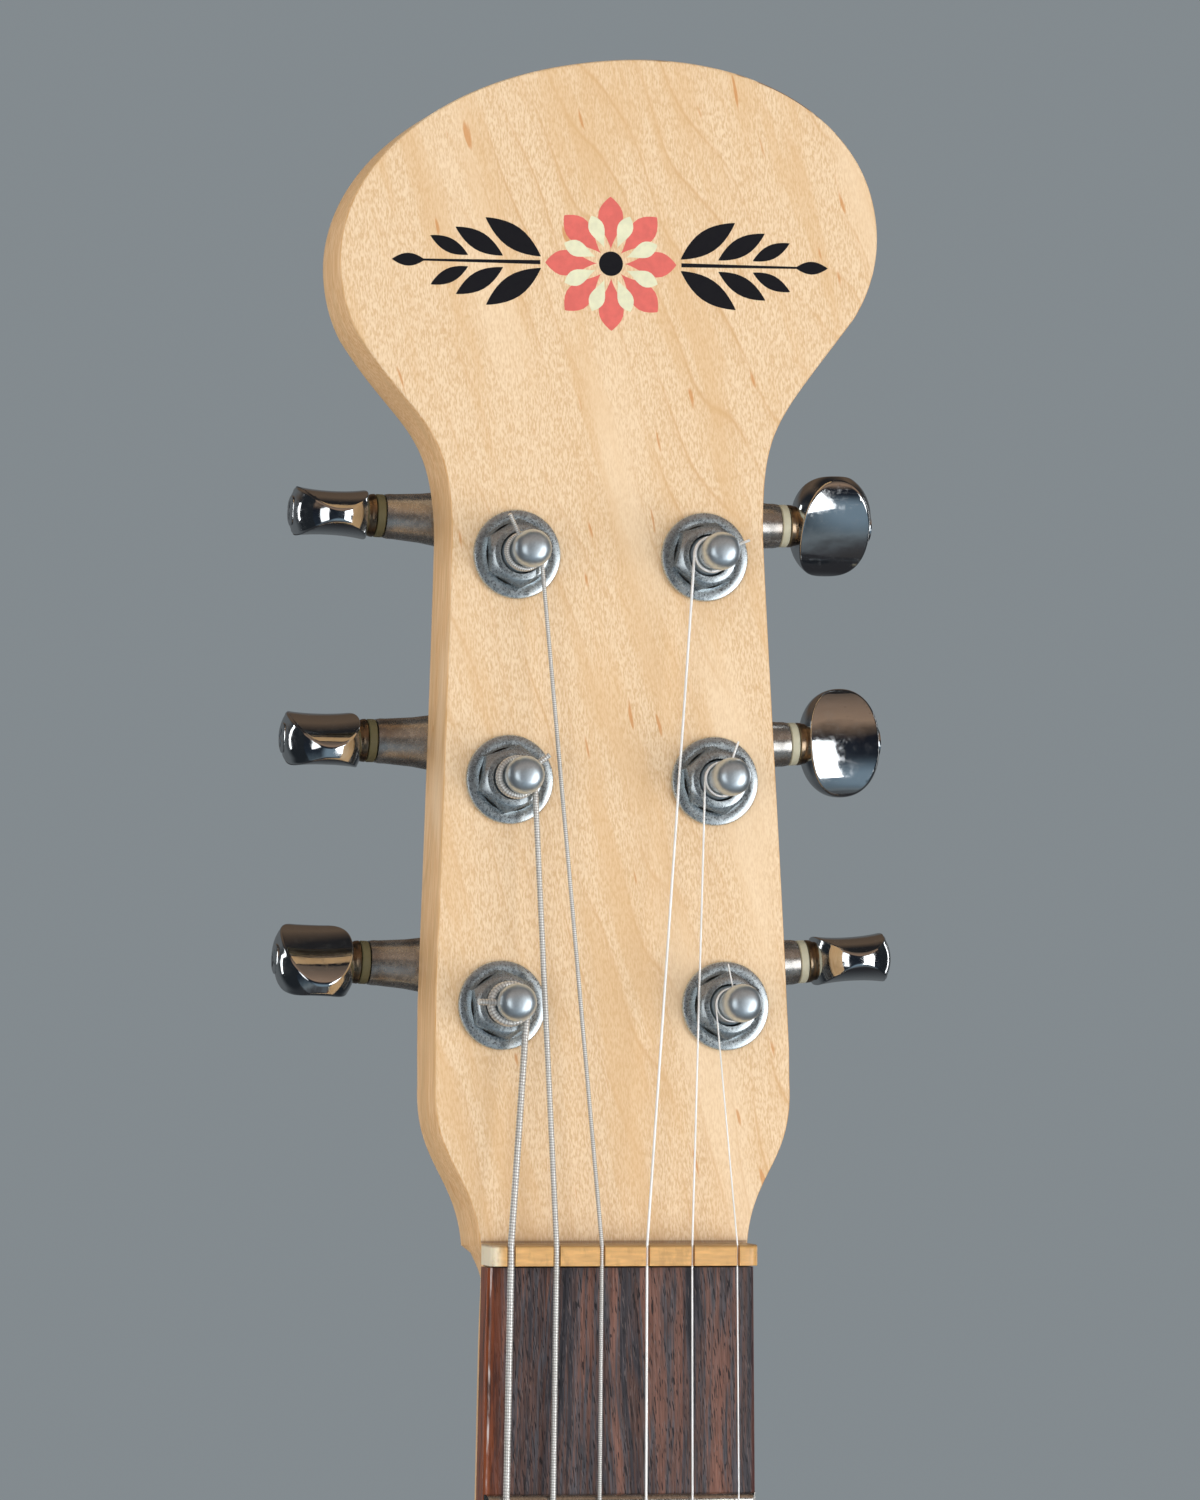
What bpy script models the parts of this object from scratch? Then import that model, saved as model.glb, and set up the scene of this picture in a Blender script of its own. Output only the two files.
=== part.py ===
"""Electric sitar: a six-string, semi-hollow instrument with a gourd-shaped body.

Sizes are in millimetres and meshes are written in metres. The neck runs along Z with the
headstock up, the front faces -Y and the bass side is -X. The origin is on the centre line, at
the end of the fretboard under the nut, on the plane where the fretboard is glued to the neck.
"""

import math

import bmesh
import bpy
from mathutils import Matrix, Vector

MM = 0.001
GAP = 0.3                      # clearance between two pieces that touch on the real instrument

# Scale and strings
SCALE_LENGTH = 635.0           # nut to saddle
FRET_COUNT = 21
LAST_FRET = -SCALE_LENGTH * (1 - 2 ** (-FRET_COUNT / 12))
STRING_PITCH_NUT = 7.12
STRING_PITCH_SADDLE = 10.5
STRING_OFFSET = -0.1           # the set sits a hair to the bass side
STRING_DIAMETER = {1: 0.25, 2: 0.33, 3: 0.43, 4: 0.66, 5: 0.91, 6: 1.07}
COIL_TURNS = 1.75              # turns of each string on its post
COIL_POINTS = 24               # points to a turn

# Neck and headstock
NUT_WIDTH = 41.9
WIDTH_FRET_12 = 51.5
NECK_DEPTH_NUT = 15.0
NECK_DEPTH_FRET_12 = 17.0
NECK_ROUNDNESS = 1.8           # 2 would be half an ellipse
HEEL_DEPTH = 22.0
HEEL_LENGTH = 71.0
HEEL_BLEND = 50.0              # from the square heel to the round back
HEEL_ROUND = 3.0
BOARD_PAST_FRETS = 8.8
HEEL_END = LAST_FRET - BOARD_PAST_FRETS
HEEL_START = HEEL_END + HEEL_LENGTH
HEAD_TILT = math.radians(3.43)
HEAD_DEPTH = 14.0
HEAD_FRONT_ROUND = 0.4
HEAD_BACK_ROUND = 1.5
HEAD_SHOULDER = (28.0, 25.0)   # half-width and height of the lower shoulder
HEAD_WAIST = (24.7, 108.7)     # half-width and height of the narrowest place
BULB_CENTRE = (0.46, 153.2)
BULB_RADII = (42.9, 29.25)
BULB_TURN = math.radians(8.4)
BULB_FULLNESS = 2.09           # 2 would be a plain ellipse
NUT_BLEND = 14.0               # from the nut to where the back is fully round
TRUSS_SLOT_WIDTH = 6.0
TRUSS_SLOT_DEPTH = 8.5

# Fretboard and nut
BOARD_THICKNESS = 5.5
BOARD_RADIUS = 355.6
FRET_WIDTH = 2.4
FRET_HEIGHT = 1.1
NUT_LENGTH = 3.46
NUT_TOP = 7.7
NUT_SLOT_FLOOR = 6.5

# Tuning machines
TUNER_ROW_START = 36.4         # first row above the nut
TUNER_ROW_PITCH = 34.64
TUNER_HALF_SPACING = (17.63, 16.21, 14.85)
TUNER_SKEW = {1: 3.39, 2: 1.62, 3: 0.41, 4: 2.46, 5: 1.26, 6: 2.08}
BUTTON_TURN = {1: 90.0, 2: 0.0, 3: -29.0, 4: 90.0, 5: 79.0, 6: 60.0}
TUNER_BORE_RADIUS = 5.0
WASHER_RADIUS = 6.85
WASHER_THICKNESS = 0.9
BUSHING_FLATS = 9.0
BUSHING_TOP = 4.2
BUSHING_TOP_RADIUS = 3.85
BUSHING_SLEEVE_RADIUS = 4.6
POST_RADIUS = 3.0
POST_WAIST_RADIUS = 2.25
POST_CAP_RADIUS = 2.9
POST_CAP_START = 10.3
POST_TOP = 13.9
POST_HOLE_HEIGHT = 9.0
POST_HOLE_RADIUS = 0.7
COIL_START = 5.2               # height of the lowest turn of string on a post
COIL_SPACING = 0.45            # free space between two turns
WORM_OFFSET = 6.8              # from the post's axis to the key's axis
WORM_DEPTH = 5.3               # from the headstock's back to the key's axis
HOUSING_DEPTH = 10.8
HOUSING_ROUND = 4.5
HOUSING_REACH = (-8.3, 6.5)    # along the shaft, from the post's axis
HOUSING_MARGIN = (7.5, 5.2)    # past the post's axis and past the key's axis
STEM_END = 15.4                # from the post's axis
STEM_RADII = (4.4, 3.35)
SHAFT_RADIUS = 2.0
NYLON_RADIUS = 3.3
NYLON_THICKNESS = 1.6
COLLAR_RADIUS = 3.6
BUTTON_START = 18.4
BUTTON_LENGTH = 13.8
BUTTON_WIDTH = 17.4
BUTTON_RIM = 8.0
BUTTON_WAIST = 6.3
BUTTON_CROWN = 1.04            # 1 would bring the faces to an edge at the button's sides

# Body
BODY_FRONT = 2.5
BODY_DEPTH = 44.0
PANEL_THICKNESS = 3.2
PANEL_ROUND = 1.2
BOWL_CENTRE = -SCALE_LENGTH + 23.0
BOWL_RADII = (149.0, 123.0)
BOWL_JOIN = math.radians(38.0)
SHOULDER_HALF = 36.0
SHOULDER_START = HEEL_START - 1.0
SHOULDER_ROUND = 8.0
SHOULDER_SWEEP = 55.0          # how far the outline's curve leans on the shoulder
BOWL_SWEEP = 70.0              # and on the bowl
BINDING_THICKNESS = 0.9
RIM_WIDTH = 18.0
CORE_HALF = 42.0
CHAMBER_TOP = HEEL_END - 23.0

# Neck plate
PLATE_SIZE = (51.0, 63.0)
PLATE_THICKNESS = 2.0
PLATE_FROM_HEEL = 38.0
PLATE_CENTRE = HEEL_END + PLATE_FROM_HEEL
PLATE_ROUND = 6.0
NECK_SCREW_SPACING = (38.0, 51.0)
NECK_SCREW_RADIUS = 2.1
NECK_SCREW_TIP = 8.0

# Pickup
PICKUP_FROM_BRIDGE = 95.0
PICKUP_PLACE = -SCALE_LENGTH + PICKUP_FROM_BRIDGE
PICKUP_RADIUS = 6.35
PICKUP_HALF_LENGTH = 36.5
PICKUP_WALL = 0.8
PICKUP_HEIGHT = 4.95           # top of the tube above the glue plane
COIL_SIZE = (62.0, 8.0, 7.0)

# Bridge
BASE_HALF_WIDTH = 44.0
BASE_LENGTH = 70.0
BASE_ABOVE_BRIDGE = 23.0
BASE_TOP = -SCALE_LENGTH + BASE_ABOVE_BRIDGE
BASE_ROUND = 4.0
BASE_THICKNESS = 1.5
BASE_FLANGE = 5.7
BUZZ_HALF_WIDTH = 36.0
BUZZ_LENGTH = 36.0
BUZZ_TOP = 9.35
BUZZ_UNDERSIDE = 6.0
BUZZ_CURVE = 220.0
HEIGHT_SCREW_INSET = 4.5       # from the end of the curved plate
HEIGHT_SCREW_PLACE = BUZZ_HALF_WIDTH - HEIGHT_SCREW_INSET
HEIGHT_SCREW_RADIUS = 1.8
HEIGHT_HEAD_RADIUS = 2.9
TAIL_BLOCK_BELOW = 56.0
TAIL_BLOCK_PLACE = BASE_TOP - TAIL_BLOCK_BELOW
TAIL_BLOCK_LENGTH = 8.0
TAIL_BLOCK_HEIGHT = 8.0
TAIL_HOLE_HEIGHT = 4.0

# Controls and jack
GUARD_CENTRE = (75.0, BOWL_CENTRE - 51.0)
GUARD_RADII = (22.0, 50.0)
GUARD_TURN = math.radians(19.8)
GUARD_THICKNESS = 1.9
KNOB_SPREAD = 26.5             # from the guard's middle to each knob
POT_RADIUS = 8.0
POT_DEPTH = 10.0
POT_BUSHING_RADIUS = 3.7
POT_NUT_FLATS = 10.0
POT_NUT_HEIGHT = 1.8
KNOB_SHAFT_RADIUS = 2.95
KNOB_RADIUS = 8.0
KNOB_SKIRT_RADIUS = 9.6
KNOB_HEIGHT = 12.0
JACK_LAND_DEPTH = 1.6          # the flat cut on the treble side for the jack plate
JACK_LAND = BOWL_RADII[0] - JACK_LAND_DEPTH
JACK_LAND_HALF = 17.0
JACK_PLATE_SIZE = (26.0, 31.0)
JACK_PLATE_THICKNESS = 1.6
JACK_BARREL_RADIUS = 4.6
JACK_BORE_RADIUS = 3.25
JACK_BODY_RADIUS = 7.5
JACK_DEPTH = 29.0
JACK_NUT_FLATS = 12.0
JACK_NUT_THICKNESS = 2.2
STRAP_HEAD_RADIUS = 7.0
STRAP_WAIST_RADIUS = 3.6
STRAP_HEIGHT = 12.5
STRAP_SCREW_RADIUS = 1.8
STRAP_SCREW_LENGTH = 16.0
STRAP_HEEL_PLACE = HEEL_END - 23.0

BODY_BACK = BODY_FRONT + BODY_DEPTH
BODY_MIDDLE = BODY_FRONT + BODY_DEPTH / 2
RIM_FRONT = BODY_FRONT + PANEL_THICKNESS
RIM_BACK = BODY_BACK - PANEL_THICKNESS


class Shape:
    """A closed surface as vertices in millimetres and faces."""

    def __init__(self, verts, faces):
        self.verts = [Vector(v) for v in verts]
        self.faces = faces

    def moved(self, frame):
        return Shape([frame @ v for v in self.verts], self.faces)


def together(shapes):
    """Several separate closed surfaces in one shape, for use as a cutter."""
    verts, faces = [], []
    for shape in shapes:
        start = len(verts)
        verts += shape.verts
        faces += [[start + i for i in face] for face in shape.faces]
    return Shape(verts, faces)


def loft(rings, loop=False):
    """Skin over rings of equal length; the ends are capped, or joined when loop is set."""
    count = len(rings[0])
    verts = [v for ring in rings for v in ring]
    faces = []
    last = len(rings) if loop else len(rings) - 1
    for r in range(last):
        low, high = r * count, ((r + 1) % len(rings)) * count
        for i in range(count):
            j = (i + 1) % count
            faces.append([low + i, low + j, high + j, high + i])
    if not loop:
        faces.append(list(range(count - 1, -1, -1)))
        faces.append(list(range(len(verts) - count, len(verts))))
    return Shape(verts, faces)


def ring(radius, height, sides, flats=0.0):
    """A circle about Z, or a hexagon of the given width across flats."""
    points = []
    for i in range(sides):
        turn = 2 * math.pi * i / sides
        reach = radius
        if flats:
            reach = flats / 2 / math.cos((turn % (math.pi / 3)) - math.pi / 6)
        points.append((reach * math.cos(turn), reach * math.sin(turn), height))
    return points


def turned(profile, sides, loop=False):
    """A surface turned about Z from (radius, height) pairs."""
    return loft([ring(radius, height, sides) for radius, height in profile], loop)


def stacked(levels):
    """A solid through (depth, outline) levels along Y; outlines are (x, z) points."""
    return loft([[(x, depth, z) for x, z in points] for depth, points in levels])


def prism(outline, front, back):
    return stacked([(front, outline), (back, outline)])


def block(low, high):
    outline = [(low[0], low[2]), (high[0], low[2]), (high[0], high[2]), (low[0], high[2])]
    return prism(outline, low[1], high[1])


def rounded_rectangle(half_x, half_z, radius, centre=(0.0, 0.0), steps=3):
    points = []
    for corner in range(4):
        middle = math.pi / 2 * corner
        cx = (half_x - radius) * (1 if corner in (0, 3) else -1)
        cz = (half_z - radius) * (1 if corner in (0, 1) else -1)
        for i in range(steps + 1):
            turn = middle + math.pi / 2 * i / steps
            points.append((centre[0] + cx + radius * math.cos(turn),
                           centre[1] + cz + radius * math.sin(turn)))
    return points


def bezier(start, lead_out, lead_in, end, steps):
    """Points along a cubic curve, without its last point."""
    points = []
    for i in range(steps):
        t = i / steps
        a, b, c, d = (1 - t) ** 3, 3 * t * (1 - t) ** 2, 3 * t * t * (1 - t), t ** 3
        points.append(tuple(a * start[k] + b * lead_out[k] + c * lead_in[k] + d * end[k]
                            for k in (0, 1)))
    return points


def inset(points, distance, closed):
    """Move each point of a counter-clockwise outline inwards by a distance."""
    count = len(points)
    result = []
    for i, (x, z) in enumerate(points):
        before = points[(i - 1) % count] if closed or i > 0 else points[i]
        after = points[(i + 1) % count] if closed or i < count - 1 else points[i]
        along = Vector((after[0] - before[0], after[1] - before[1])).normalized()
        result.append((x - along.y * distance, z + along.x * distance))
    return result


def material(name, colour, roughness, metallic=0.0):
    mat = bpy.data.materials.new(name)
    mat.use_nodes = True
    shader = mat.node_tree.nodes["Principled BSDF"]
    shader.inputs["Base Color"].default_value = (*colour, 1.0)
    shader.inputs["Roughness"].default_value = roughness
    shader.inputs["Metallic"].default_value = metallic
    return mat


def metres(frame):
    """A placing matrix in millimetres, with its place in metres."""
    result = frame.copy()
    result.translation = frame.translation * MM
    return result


def new_object(name, shape, mat=None, frame=Matrix(), parent=None, sharp=35.0):
    """An object for a shape given about the frame's own origin.

    Edges that turn by more than sharp degrees are left crisp.
    """
    mesh = bpy.data.meshes.new(name)
    mesh.from_pydata([v * MM for v in shape.verts], [], shape.faces)
    work = bmesh.new()
    work.from_mesh(mesh)
    bmesh.ops.recalc_face_normals(work, faces=work.faces)
    work.to_mesh(mesh)
    work.free()
    mesh.shade_smooth()
    for face in mesh.polygons:
        # A large flat face stays flat, or its corners would tilt its shading.
        face.use_smooth = len(face.vertices) <= 6
    mesh.set_sharp_from_angle(angle=math.radians(sharp))
    obj = bpy.data.objects.new(name, mesh)
    bpy.context.scene.collection.objects.link(obj)
    if mat is not None:
        mesh.materials.append(mat)
    if parent is not None:
        obj.parent = parent
    else:
        obj.matrix_world = metres(frame)
    return obj


def axis_empty(name, frame):
    """An empty on a joint's axis, which carries what turns or slides there."""
    empty = bpy.data.objects.new(name, None)
    empty.empty_display_size = 10 * MM
    empty.matrix_world = metres(frame)
    bpy.context.scene.collection.objects.link(empty)
    return empty


def carve(obj, shape, operation="DIFFERENCE"):
    """Cut a shape from an object, or add it, in the object's own space."""
    tool = new_object("tool_" + obj.name + "_" + str(len(obj.modifiers)), shape)
    tool.hide_render = True
    tool.display_type = "WIRE"
    tool.parent = obj.parent
    tool.matrix_basis = obj.matrix_basis
    change = obj.modifiers.new(operation.lower(), "BOOLEAN")
    change.operation = operation
    change.object = tool
    return tool


def tube(name, points, radius, mat):
    """A wire through points in millimetres, six-sided, with closed ends."""
    data = bpy.data.curves.new(name, "CURVE")
    data.dimensions = "3D"
    data.bevel_depth = radius * MM
    data.bevel_resolution = 1
    data.use_fill_caps = True
    spline = data.splines.new("POLY")
    spline.points.add(len(points) - 1)
    for target, point in zip(spline.points, points):
        target.co = (*(Vector(point) * MM), 1.0)
    data.materials.append(mat)
    obj = bpy.data.objects.new(name, data)
    bpy.context.scene.collection.objects.link(obj)
    return obj


# Frames and places

HEAD_UP = Vector((0.0, math.sin(HEAD_TILT), math.cos(HEAD_TILT)))
HEAD_FRONT = Vector((0.0, -math.cos(HEAD_TILT), math.sin(HEAD_TILT)))
HEAD_ORIGIN = Vector((0.0, 0.0, NUT_LENGTH))


def on_head(u, s, height=0.0):
    """A place on the headstock: across, up from the nut, and above its front face."""
    return HEAD_ORIGIN + Vector((u, 0, 0)) + HEAD_UP * s + HEAD_FRONT * height


def axes(origin, x, y, z):
    frame = Matrix((x, y, z)).transposed().to_4x4()
    frame.translation = origin
    return frame


def side_of(string):
    return 1 if string <= 3 else -1


def row_of(string):
    return string - 1 if string <= 3 else 6 - string


def tuner_frame(string):
    """On a post's axis at the headstock's face: X points out of the edge, Z to the front."""
    side, row = side_of(string), row_of(string)
    skew = math.radians(TUNER_SKEW[string])
    origin = on_head(side * TUNER_HALF_SPACING[row], TUNER_ROW_START + row * TUNER_ROW_PITCH)
    out = Vector((side * math.cos(skew), 0, 0)) + HEAD_UP * math.sin(skew)
    return axes(origin, out, HEAD_FRONT.cross(out), HEAD_FRONT)


def key_frame(string):
    """On a key's axis beside its post: Z runs out along the shaft, Y faces the button's face."""
    tuner = tuner_frame(string)
    side = side_of(string)
    out, across, front = (tuner.col[i].to_3d() for i in range(3))
    up = across * side
    origin = tuner.translation + up * WORM_OFFSET - front * (HEAD_DEPTH + WORM_DEPTH)
    turn = math.radians(BUTTON_TURN[string])
    face = front * math.cos(turn) + up * math.sin(turn)
    return axes(origin, face.cross(out), face, out)


def fret_place(fret):
    return -SCALE_LENGTH * (1 - 2 ** (-fret / 12))


def half_width(z):
    """Half the width of the neck and the fretboard."""
    slope = (WIDTH_FRET_12 - NUT_WIDTH) / 2 / fret_place(12)
    return NUT_WIDTH / 2 + slope * z


def string_order(string):
    """-2.5 for the bass string to 2.5 for the treble string."""
    return 3.5 - string


def string_at_nut(string):
    x = STRING_OFFSET + string_order(string) * STRING_PITCH_NUT
    return Vector((x, -NUT_SLOT_FLOOR - GAP - STRING_DIAMETER[string] / 2, 0))


def string_at_saddle(string):
    x = STRING_OFFSET + string_order(string) * STRING_PITCH_SADDLE
    return Vector((x, -BUZZ_TOP - GAP - STRING_DIAMETER[string] / 2, -SCALE_LENGTH))


def knob_place(which):
    """The volume knob is above the guard's middle and the tone knob below it."""
    way = {"volume": 1, "tone": -1}[which]
    return (GUARD_CENTRE[0] + way * KNOB_SPREAD * math.sin(GUARD_TURN),
            GUARD_CENTRE[1] + way * KNOB_SPREAD * math.cos(GUARD_TURN))


# Neck

def ellipse_point(centre, radii, turn, angle):
    x, z = radii[0] * math.cos(angle), radii[1] * math.sin(angle)
    return (centre[0] + x * math.cos(turn) - z * math.sin(turn),
            centre[1] + x * math.sin(turn) + z * math.cos(turn))


def bulb_point(angle):
    """A place on the bulb's edge, which is a little fuller than an ellipse."""
    power = 2 / BULB_FULLNESS
    x, z = (radius * math.copysign(abs(share) ** power, share)
            for radius, share in zip(BULB_RADII, (math.cos(angle), math.sin(angle))))
    return (BULB_CENTRE[0] + x * math.cos(BULB_TURN) - z * math.sin(BULB_TURN),
            BULB_CENTRE[1] + x * math.sin(BULB_TURN) + z * math.cos(BULB_TURN))


def head_outline():
    """From the right shoulder up over the bulb and down to the left shoulder."""
    waist_x, waist_s = HEAD_WAIST
    shoulder_x, shoulder_s = HEAD_SHOULDER
    right_end, left_end = math.radians(-31), math.radians(194)
    right, left = bulb_point(right_end), bulb_point(left_end)
    points = [(shoulder_x, shoulder_s + 5.0)]
    points += bezier((shoulder_x - 0.3, shoulder_s + 12), (shoulder_x - 0.9, shoulder_s + 30),
                     (waist_x + 0.5, waist_s - 19), (waist_x - 0.2, waist_s), 4)
    points += bezier((waist_x - 0.2, waist_s), (waist_x - 0.2, waist_s + 17.6),
                     (right[0] - 13.0, right[1] - 17.0), right, 9)
    steps = 30
    points += [bulb_point(right_end + (left_end - right_end) * i / steps) for i in range(steps)]
    points += bezier(left, (left[0] + 9.0, left[1] - 14.1), (-waist_x - 0.2, waist_s + 18.0),
                     (-waist_x - 0.2, waist_s), 9)
    points += bezier((-waist_x - 0.2, waist_s), (-waist_x - 0.8, waist_s - 19),
                     (-shoulder_x + 0.9, shoulder_s + 30), (-shoulder_x + 0.1, shoulder_s + 12),
                     4)
    return points + [(-shoulder_x + 0.1, shoulder_s + 12), (-shoulder_x, shoulder_s + 5.0)]


def side_levels(front_round, back_round, depth):
    """(inset, depth) pairs down a slab's side, from its front face to its back face."""
    return [(front_round, 0.0), (0.29 * front_round, 0.29 * front_round), (0.0, front_round),
            (0.0, depth / 2), (0.0, depth - back_round),
            (0.29 * back_round, depth - 0.29 * back_round), (back_round, depth)]


def neck_section(half, depth, squareness, front_round=0.3, back_round=HEEL_ROUND):
    """(x, depth) points from the left edge round the back to the right edge.

    A squareness of 0 is the playing part's round back and 1 a flat slab with rounded edges.
    """
    levels = side_levels(front_round, back_round, depth)
    flat = [(-(half - i), d) for i, d in levels]
    inner = half - back_round
    flat += [(-inner * 0.5, depth), (0.0, depth), (inner * 0.5, depth)]
    flat += [(half - i, d) for i, d in reversed(levels)]
    power = 2 / NECK_ROUNDNESS
    points = []
    for i, (x, y) in enumerate(flat):
        angle = math.pi * i / (len(flat) - 1)
        round_x = -math.copysign(abs(math.cos(angle)) ** power, math.cos(angle)) * half
        round_y = abs(math.sin(angle)) ** power * depth
        points.append((round_x + (x - round_x) * squareness, round_y + (y - round_y) * squareness))
    return points


def neck_depth(z):
    slope = (NECK_DEPTH_FRET_12 - NECK_DEPTH_NUT) / fret_place(12)
    return NECK_DEPTH_NUT + slope * z


def build_neck(mat):
    rings = []

    def neck_ring(z, depth, squareness):
        section = neck_section(half_width(z), depth, squareness)
        rings.append([Vector((x, y, z)) for x, y in section])

    def head_ring(half, s, depth, squareness, front_round, back_round):
        section = neck_section(half, depth, squareness, front_round, back_round)
        rings.append([on_head(x, s, -y) for x, y in section])

    neck_ring(HEEL_END, HEEL_DEPTH, 1.0)
    neck_ring(HEEL_START, HEEL_DEPTH, 1.0)
    for share, squareness in ((0.2, 0.93), (0.4, 0.7), (0.6, 0.38), (0.8, 0.12), (1.0, 0.0)):
        z = HEEL_START + HEEL_BLEND * share
        ease = share * share * (3 - 2 * share)
        neck_ring(z, HEEL_DEPTH + (neck_depth(z) - HEEL_DEPTH) * ease, squareness)
    for share in (0.81, 0.54, 0.27, 0.09):
        z = (HEEL_START + HEEL_BLEND) * share
        neck_ring(z, neck_depth(z), 0.0)
    for z in (-14.0, -9.0, -5.0, -2.0, 0.8):
        neck_ring(z, neck_depth(z), ((z + NUT_BLEND) / (NUT_LENGTH + NUT_BLEND)) ** 2)
    flare = bezier((half_width(0) + 0.15, 0.0), (half_width(0) + 1.05, 11.1),
                   (HEAD_SHOULDER[0] + 0.75, 12.5), HEAD_SHOULDER, 8)
    for i, (half, s) in enumerate(flare):
        share = i / len(flare)
        depth = NECK_DEPTH_NUT + (HEAD_DEPTH - NECK_DEPTH_NUT) * min(1.0, share * 1.6)
        head_ring(half, s, depth, 1.0, HEAD_FRONT_ROUND,
                  2.0 + (HEAD_BACK_ROUND - 2.0) * share)
    head_ring(HEAD_SHOULDER[0], HEAD_SHOULDER[1], HEAD_DEPTH, 1.0,
              HEAD_FRONT_ROUND, HEAD_BACK_ROUND)

    neck = loft(rings)
    faces = neck.faces[:-1]
    verts = list(neck.verts)
    levels = side_levels(HEAD_FRONT_ROUND, HEAD_BACK_ROUND, HEAD_DEPTH)
    outline = head_outline()
    start = len(verts)
    columns = len(outline)
    for distance, depth in levels:
        verts += [on_head(u, s, -depth) for u, s in inset(outline, distance, False)]

    def at(level, column):
        return start + level * columns + column

    for level in range(len(levels) - 1):
        for column in range(columns - 1):
            faces.append([at(level, column), at(level, column + 1),
                          at(level + 1, column + 1), at(level + 1, column)])
    # Join the slab's open lower edge to the last ring of the neck.
    ring_start = start - len(rings[0])
    last_level = len(levels) - 1
    left = [at(level, columns - 1) for level in range(len(levels))]
    right = [at(level, 0) for level in range(len(levels))]
    ring_left = [ring_start + i for i in range(len(levels))]
    ring_right = [start - 1 - i for i in range(len(levels))]
    for level in range(last_level):
        faces.append([ring_left[level], ring_left[level + 1], left[level + 1], left[level]])
        faces.append([ring_right[level + 1], ring_right[level], right[level], right[level + 1]])
    crown = list(range(ring_left[-1] + 1, ring_right[-1]))
    faces.append([ring_left[-1]] + crown + [ring_right[-1], right[-1], left[-1]])
    faces.append([ring_right[0], ring_left[0], left[0], right[0]])
    faces.append([at(0, column) for column in range(columns)])
    faces.append([at(last_level, column) for column in reversed(range(columns))])
    obj = new_object("neck", Shape(verts, faces), mat, sharp=20.0)

    bores = []
    for string in STRING_DIAMETER:
        bore = turned([(TUNER_BORE_RADIUS, -HEAD_DEPTH - 2), (TUNER_BORE_RADIUS, 2)], 14)
        bores.append(bore.moved(tuner_frame(string)))
    carve(obj, together(bores))
    half = TRUSS_SLOT_WIDTH / 2
    slot = block((-half, -2, HEEL_END + 15), (half, TRUSS_SLOT_DEPTH, -8))
    carve(obj, slot)
    carve(obj, neck_screw_holes(NECK_SCREW_TIP - 1, HEEL_DEPTH + 2, NECK_SCREW_RADIUS + GAP))
    return obj


def along_y(radius, front, back, x, z, sides=12):
    """A round rod along Y."""
    rod = turned([(radius, -back), (radius, -front)], sides)
    return rod.moved(axes(Vector((x, 0, z)), Vector((1, 0, 0)), Vector((0, 0, 1)),
                          Vector((0, -1, 0))))


def neck_screw_places():
    across, along = NECK_SCREW_SPACING
    return [(x * across / 2, PLATE_CENTRE + z * along / 2) for x in (-1, 1) for z in (-1, 1)]


def neck_screw_holes(front, back, radius):
    return together([along_y(radius, front, back, x, z, 10) for x, z in neck_screw_places()])


def build_truss_rod(mat):
    half = TRUSS_SLOT_WIDTH / 2 - 0.4
    rod = block((-half, 0.4, HEEL_END + 16), (half, TRUSS_SLOT_DEPTH - 0.4, -9))
    return new_object("truss_rod", rod, mat)


def build_fretboard(mat):
    """The board with its frets: each fret raises the same curved top by its height."""
    rings = []

    def board_ring(z, rise):
        half = half_width(z)
        top = []
        for share in (1.0, 0.55, 0.0, -0.55, -1.0):
            x = half * share
            fall = BOARD_RADIUS - math.sqrt(BOARD_RADIUS ** 2 - x * x)
            top.append((x, -(BOARD_THICKNESS + rise - fall), z))
        rings.append([(-half, -GAP, z), (half, -GAP, z)] + top)

    board_ring(HEEL_END, 0.0)
    for fret in range(FRET_COUNT, 0, -1):
        z = fret_place(fret)
        board_ring(z - FRET_WIDTH / 2, 0.0)
        board_ring(z - FRET_WIDTH / 4, FRET_HEIGHT)
        board_ring(z + FRET_WIDTH / 4, FRET_HEIGHT)
        board_ring(z + FRET_WIDTH / 2, 0.0)
    board_ring(0.0, 0.0)
    return new_object("fretboard", loft(rings), mat)


def build_nut(mat):
    """A bone bar with six slots in its top."""
    half = NUT_WIDTH / 2
    top = [(-half, -GAP), (half, -GAP), (half, -NUT_TOP + 0.6)]
    for string in sorted(STRING_DIAMETER):
        x = string_at_nut(string).x
        reach = STRING_DIAMETER[string] / 2 + GAP
        top += [(x + reach, -NUT_TOP), (x + reach, -NUT_SLOT_FLOOR),
                (x - reach, -NUT_SLOT_FLOOR), (x - reach, -NUT_TOP)]
    top.append((-half, -NUT_TOP + 0.6))
    rings = [[(x, y, z) for x, y in top] for z in (GAP, NUT_LENGTH)]
    return new_object("nut", loft(rings), mat)


# Tuning machines

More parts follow.
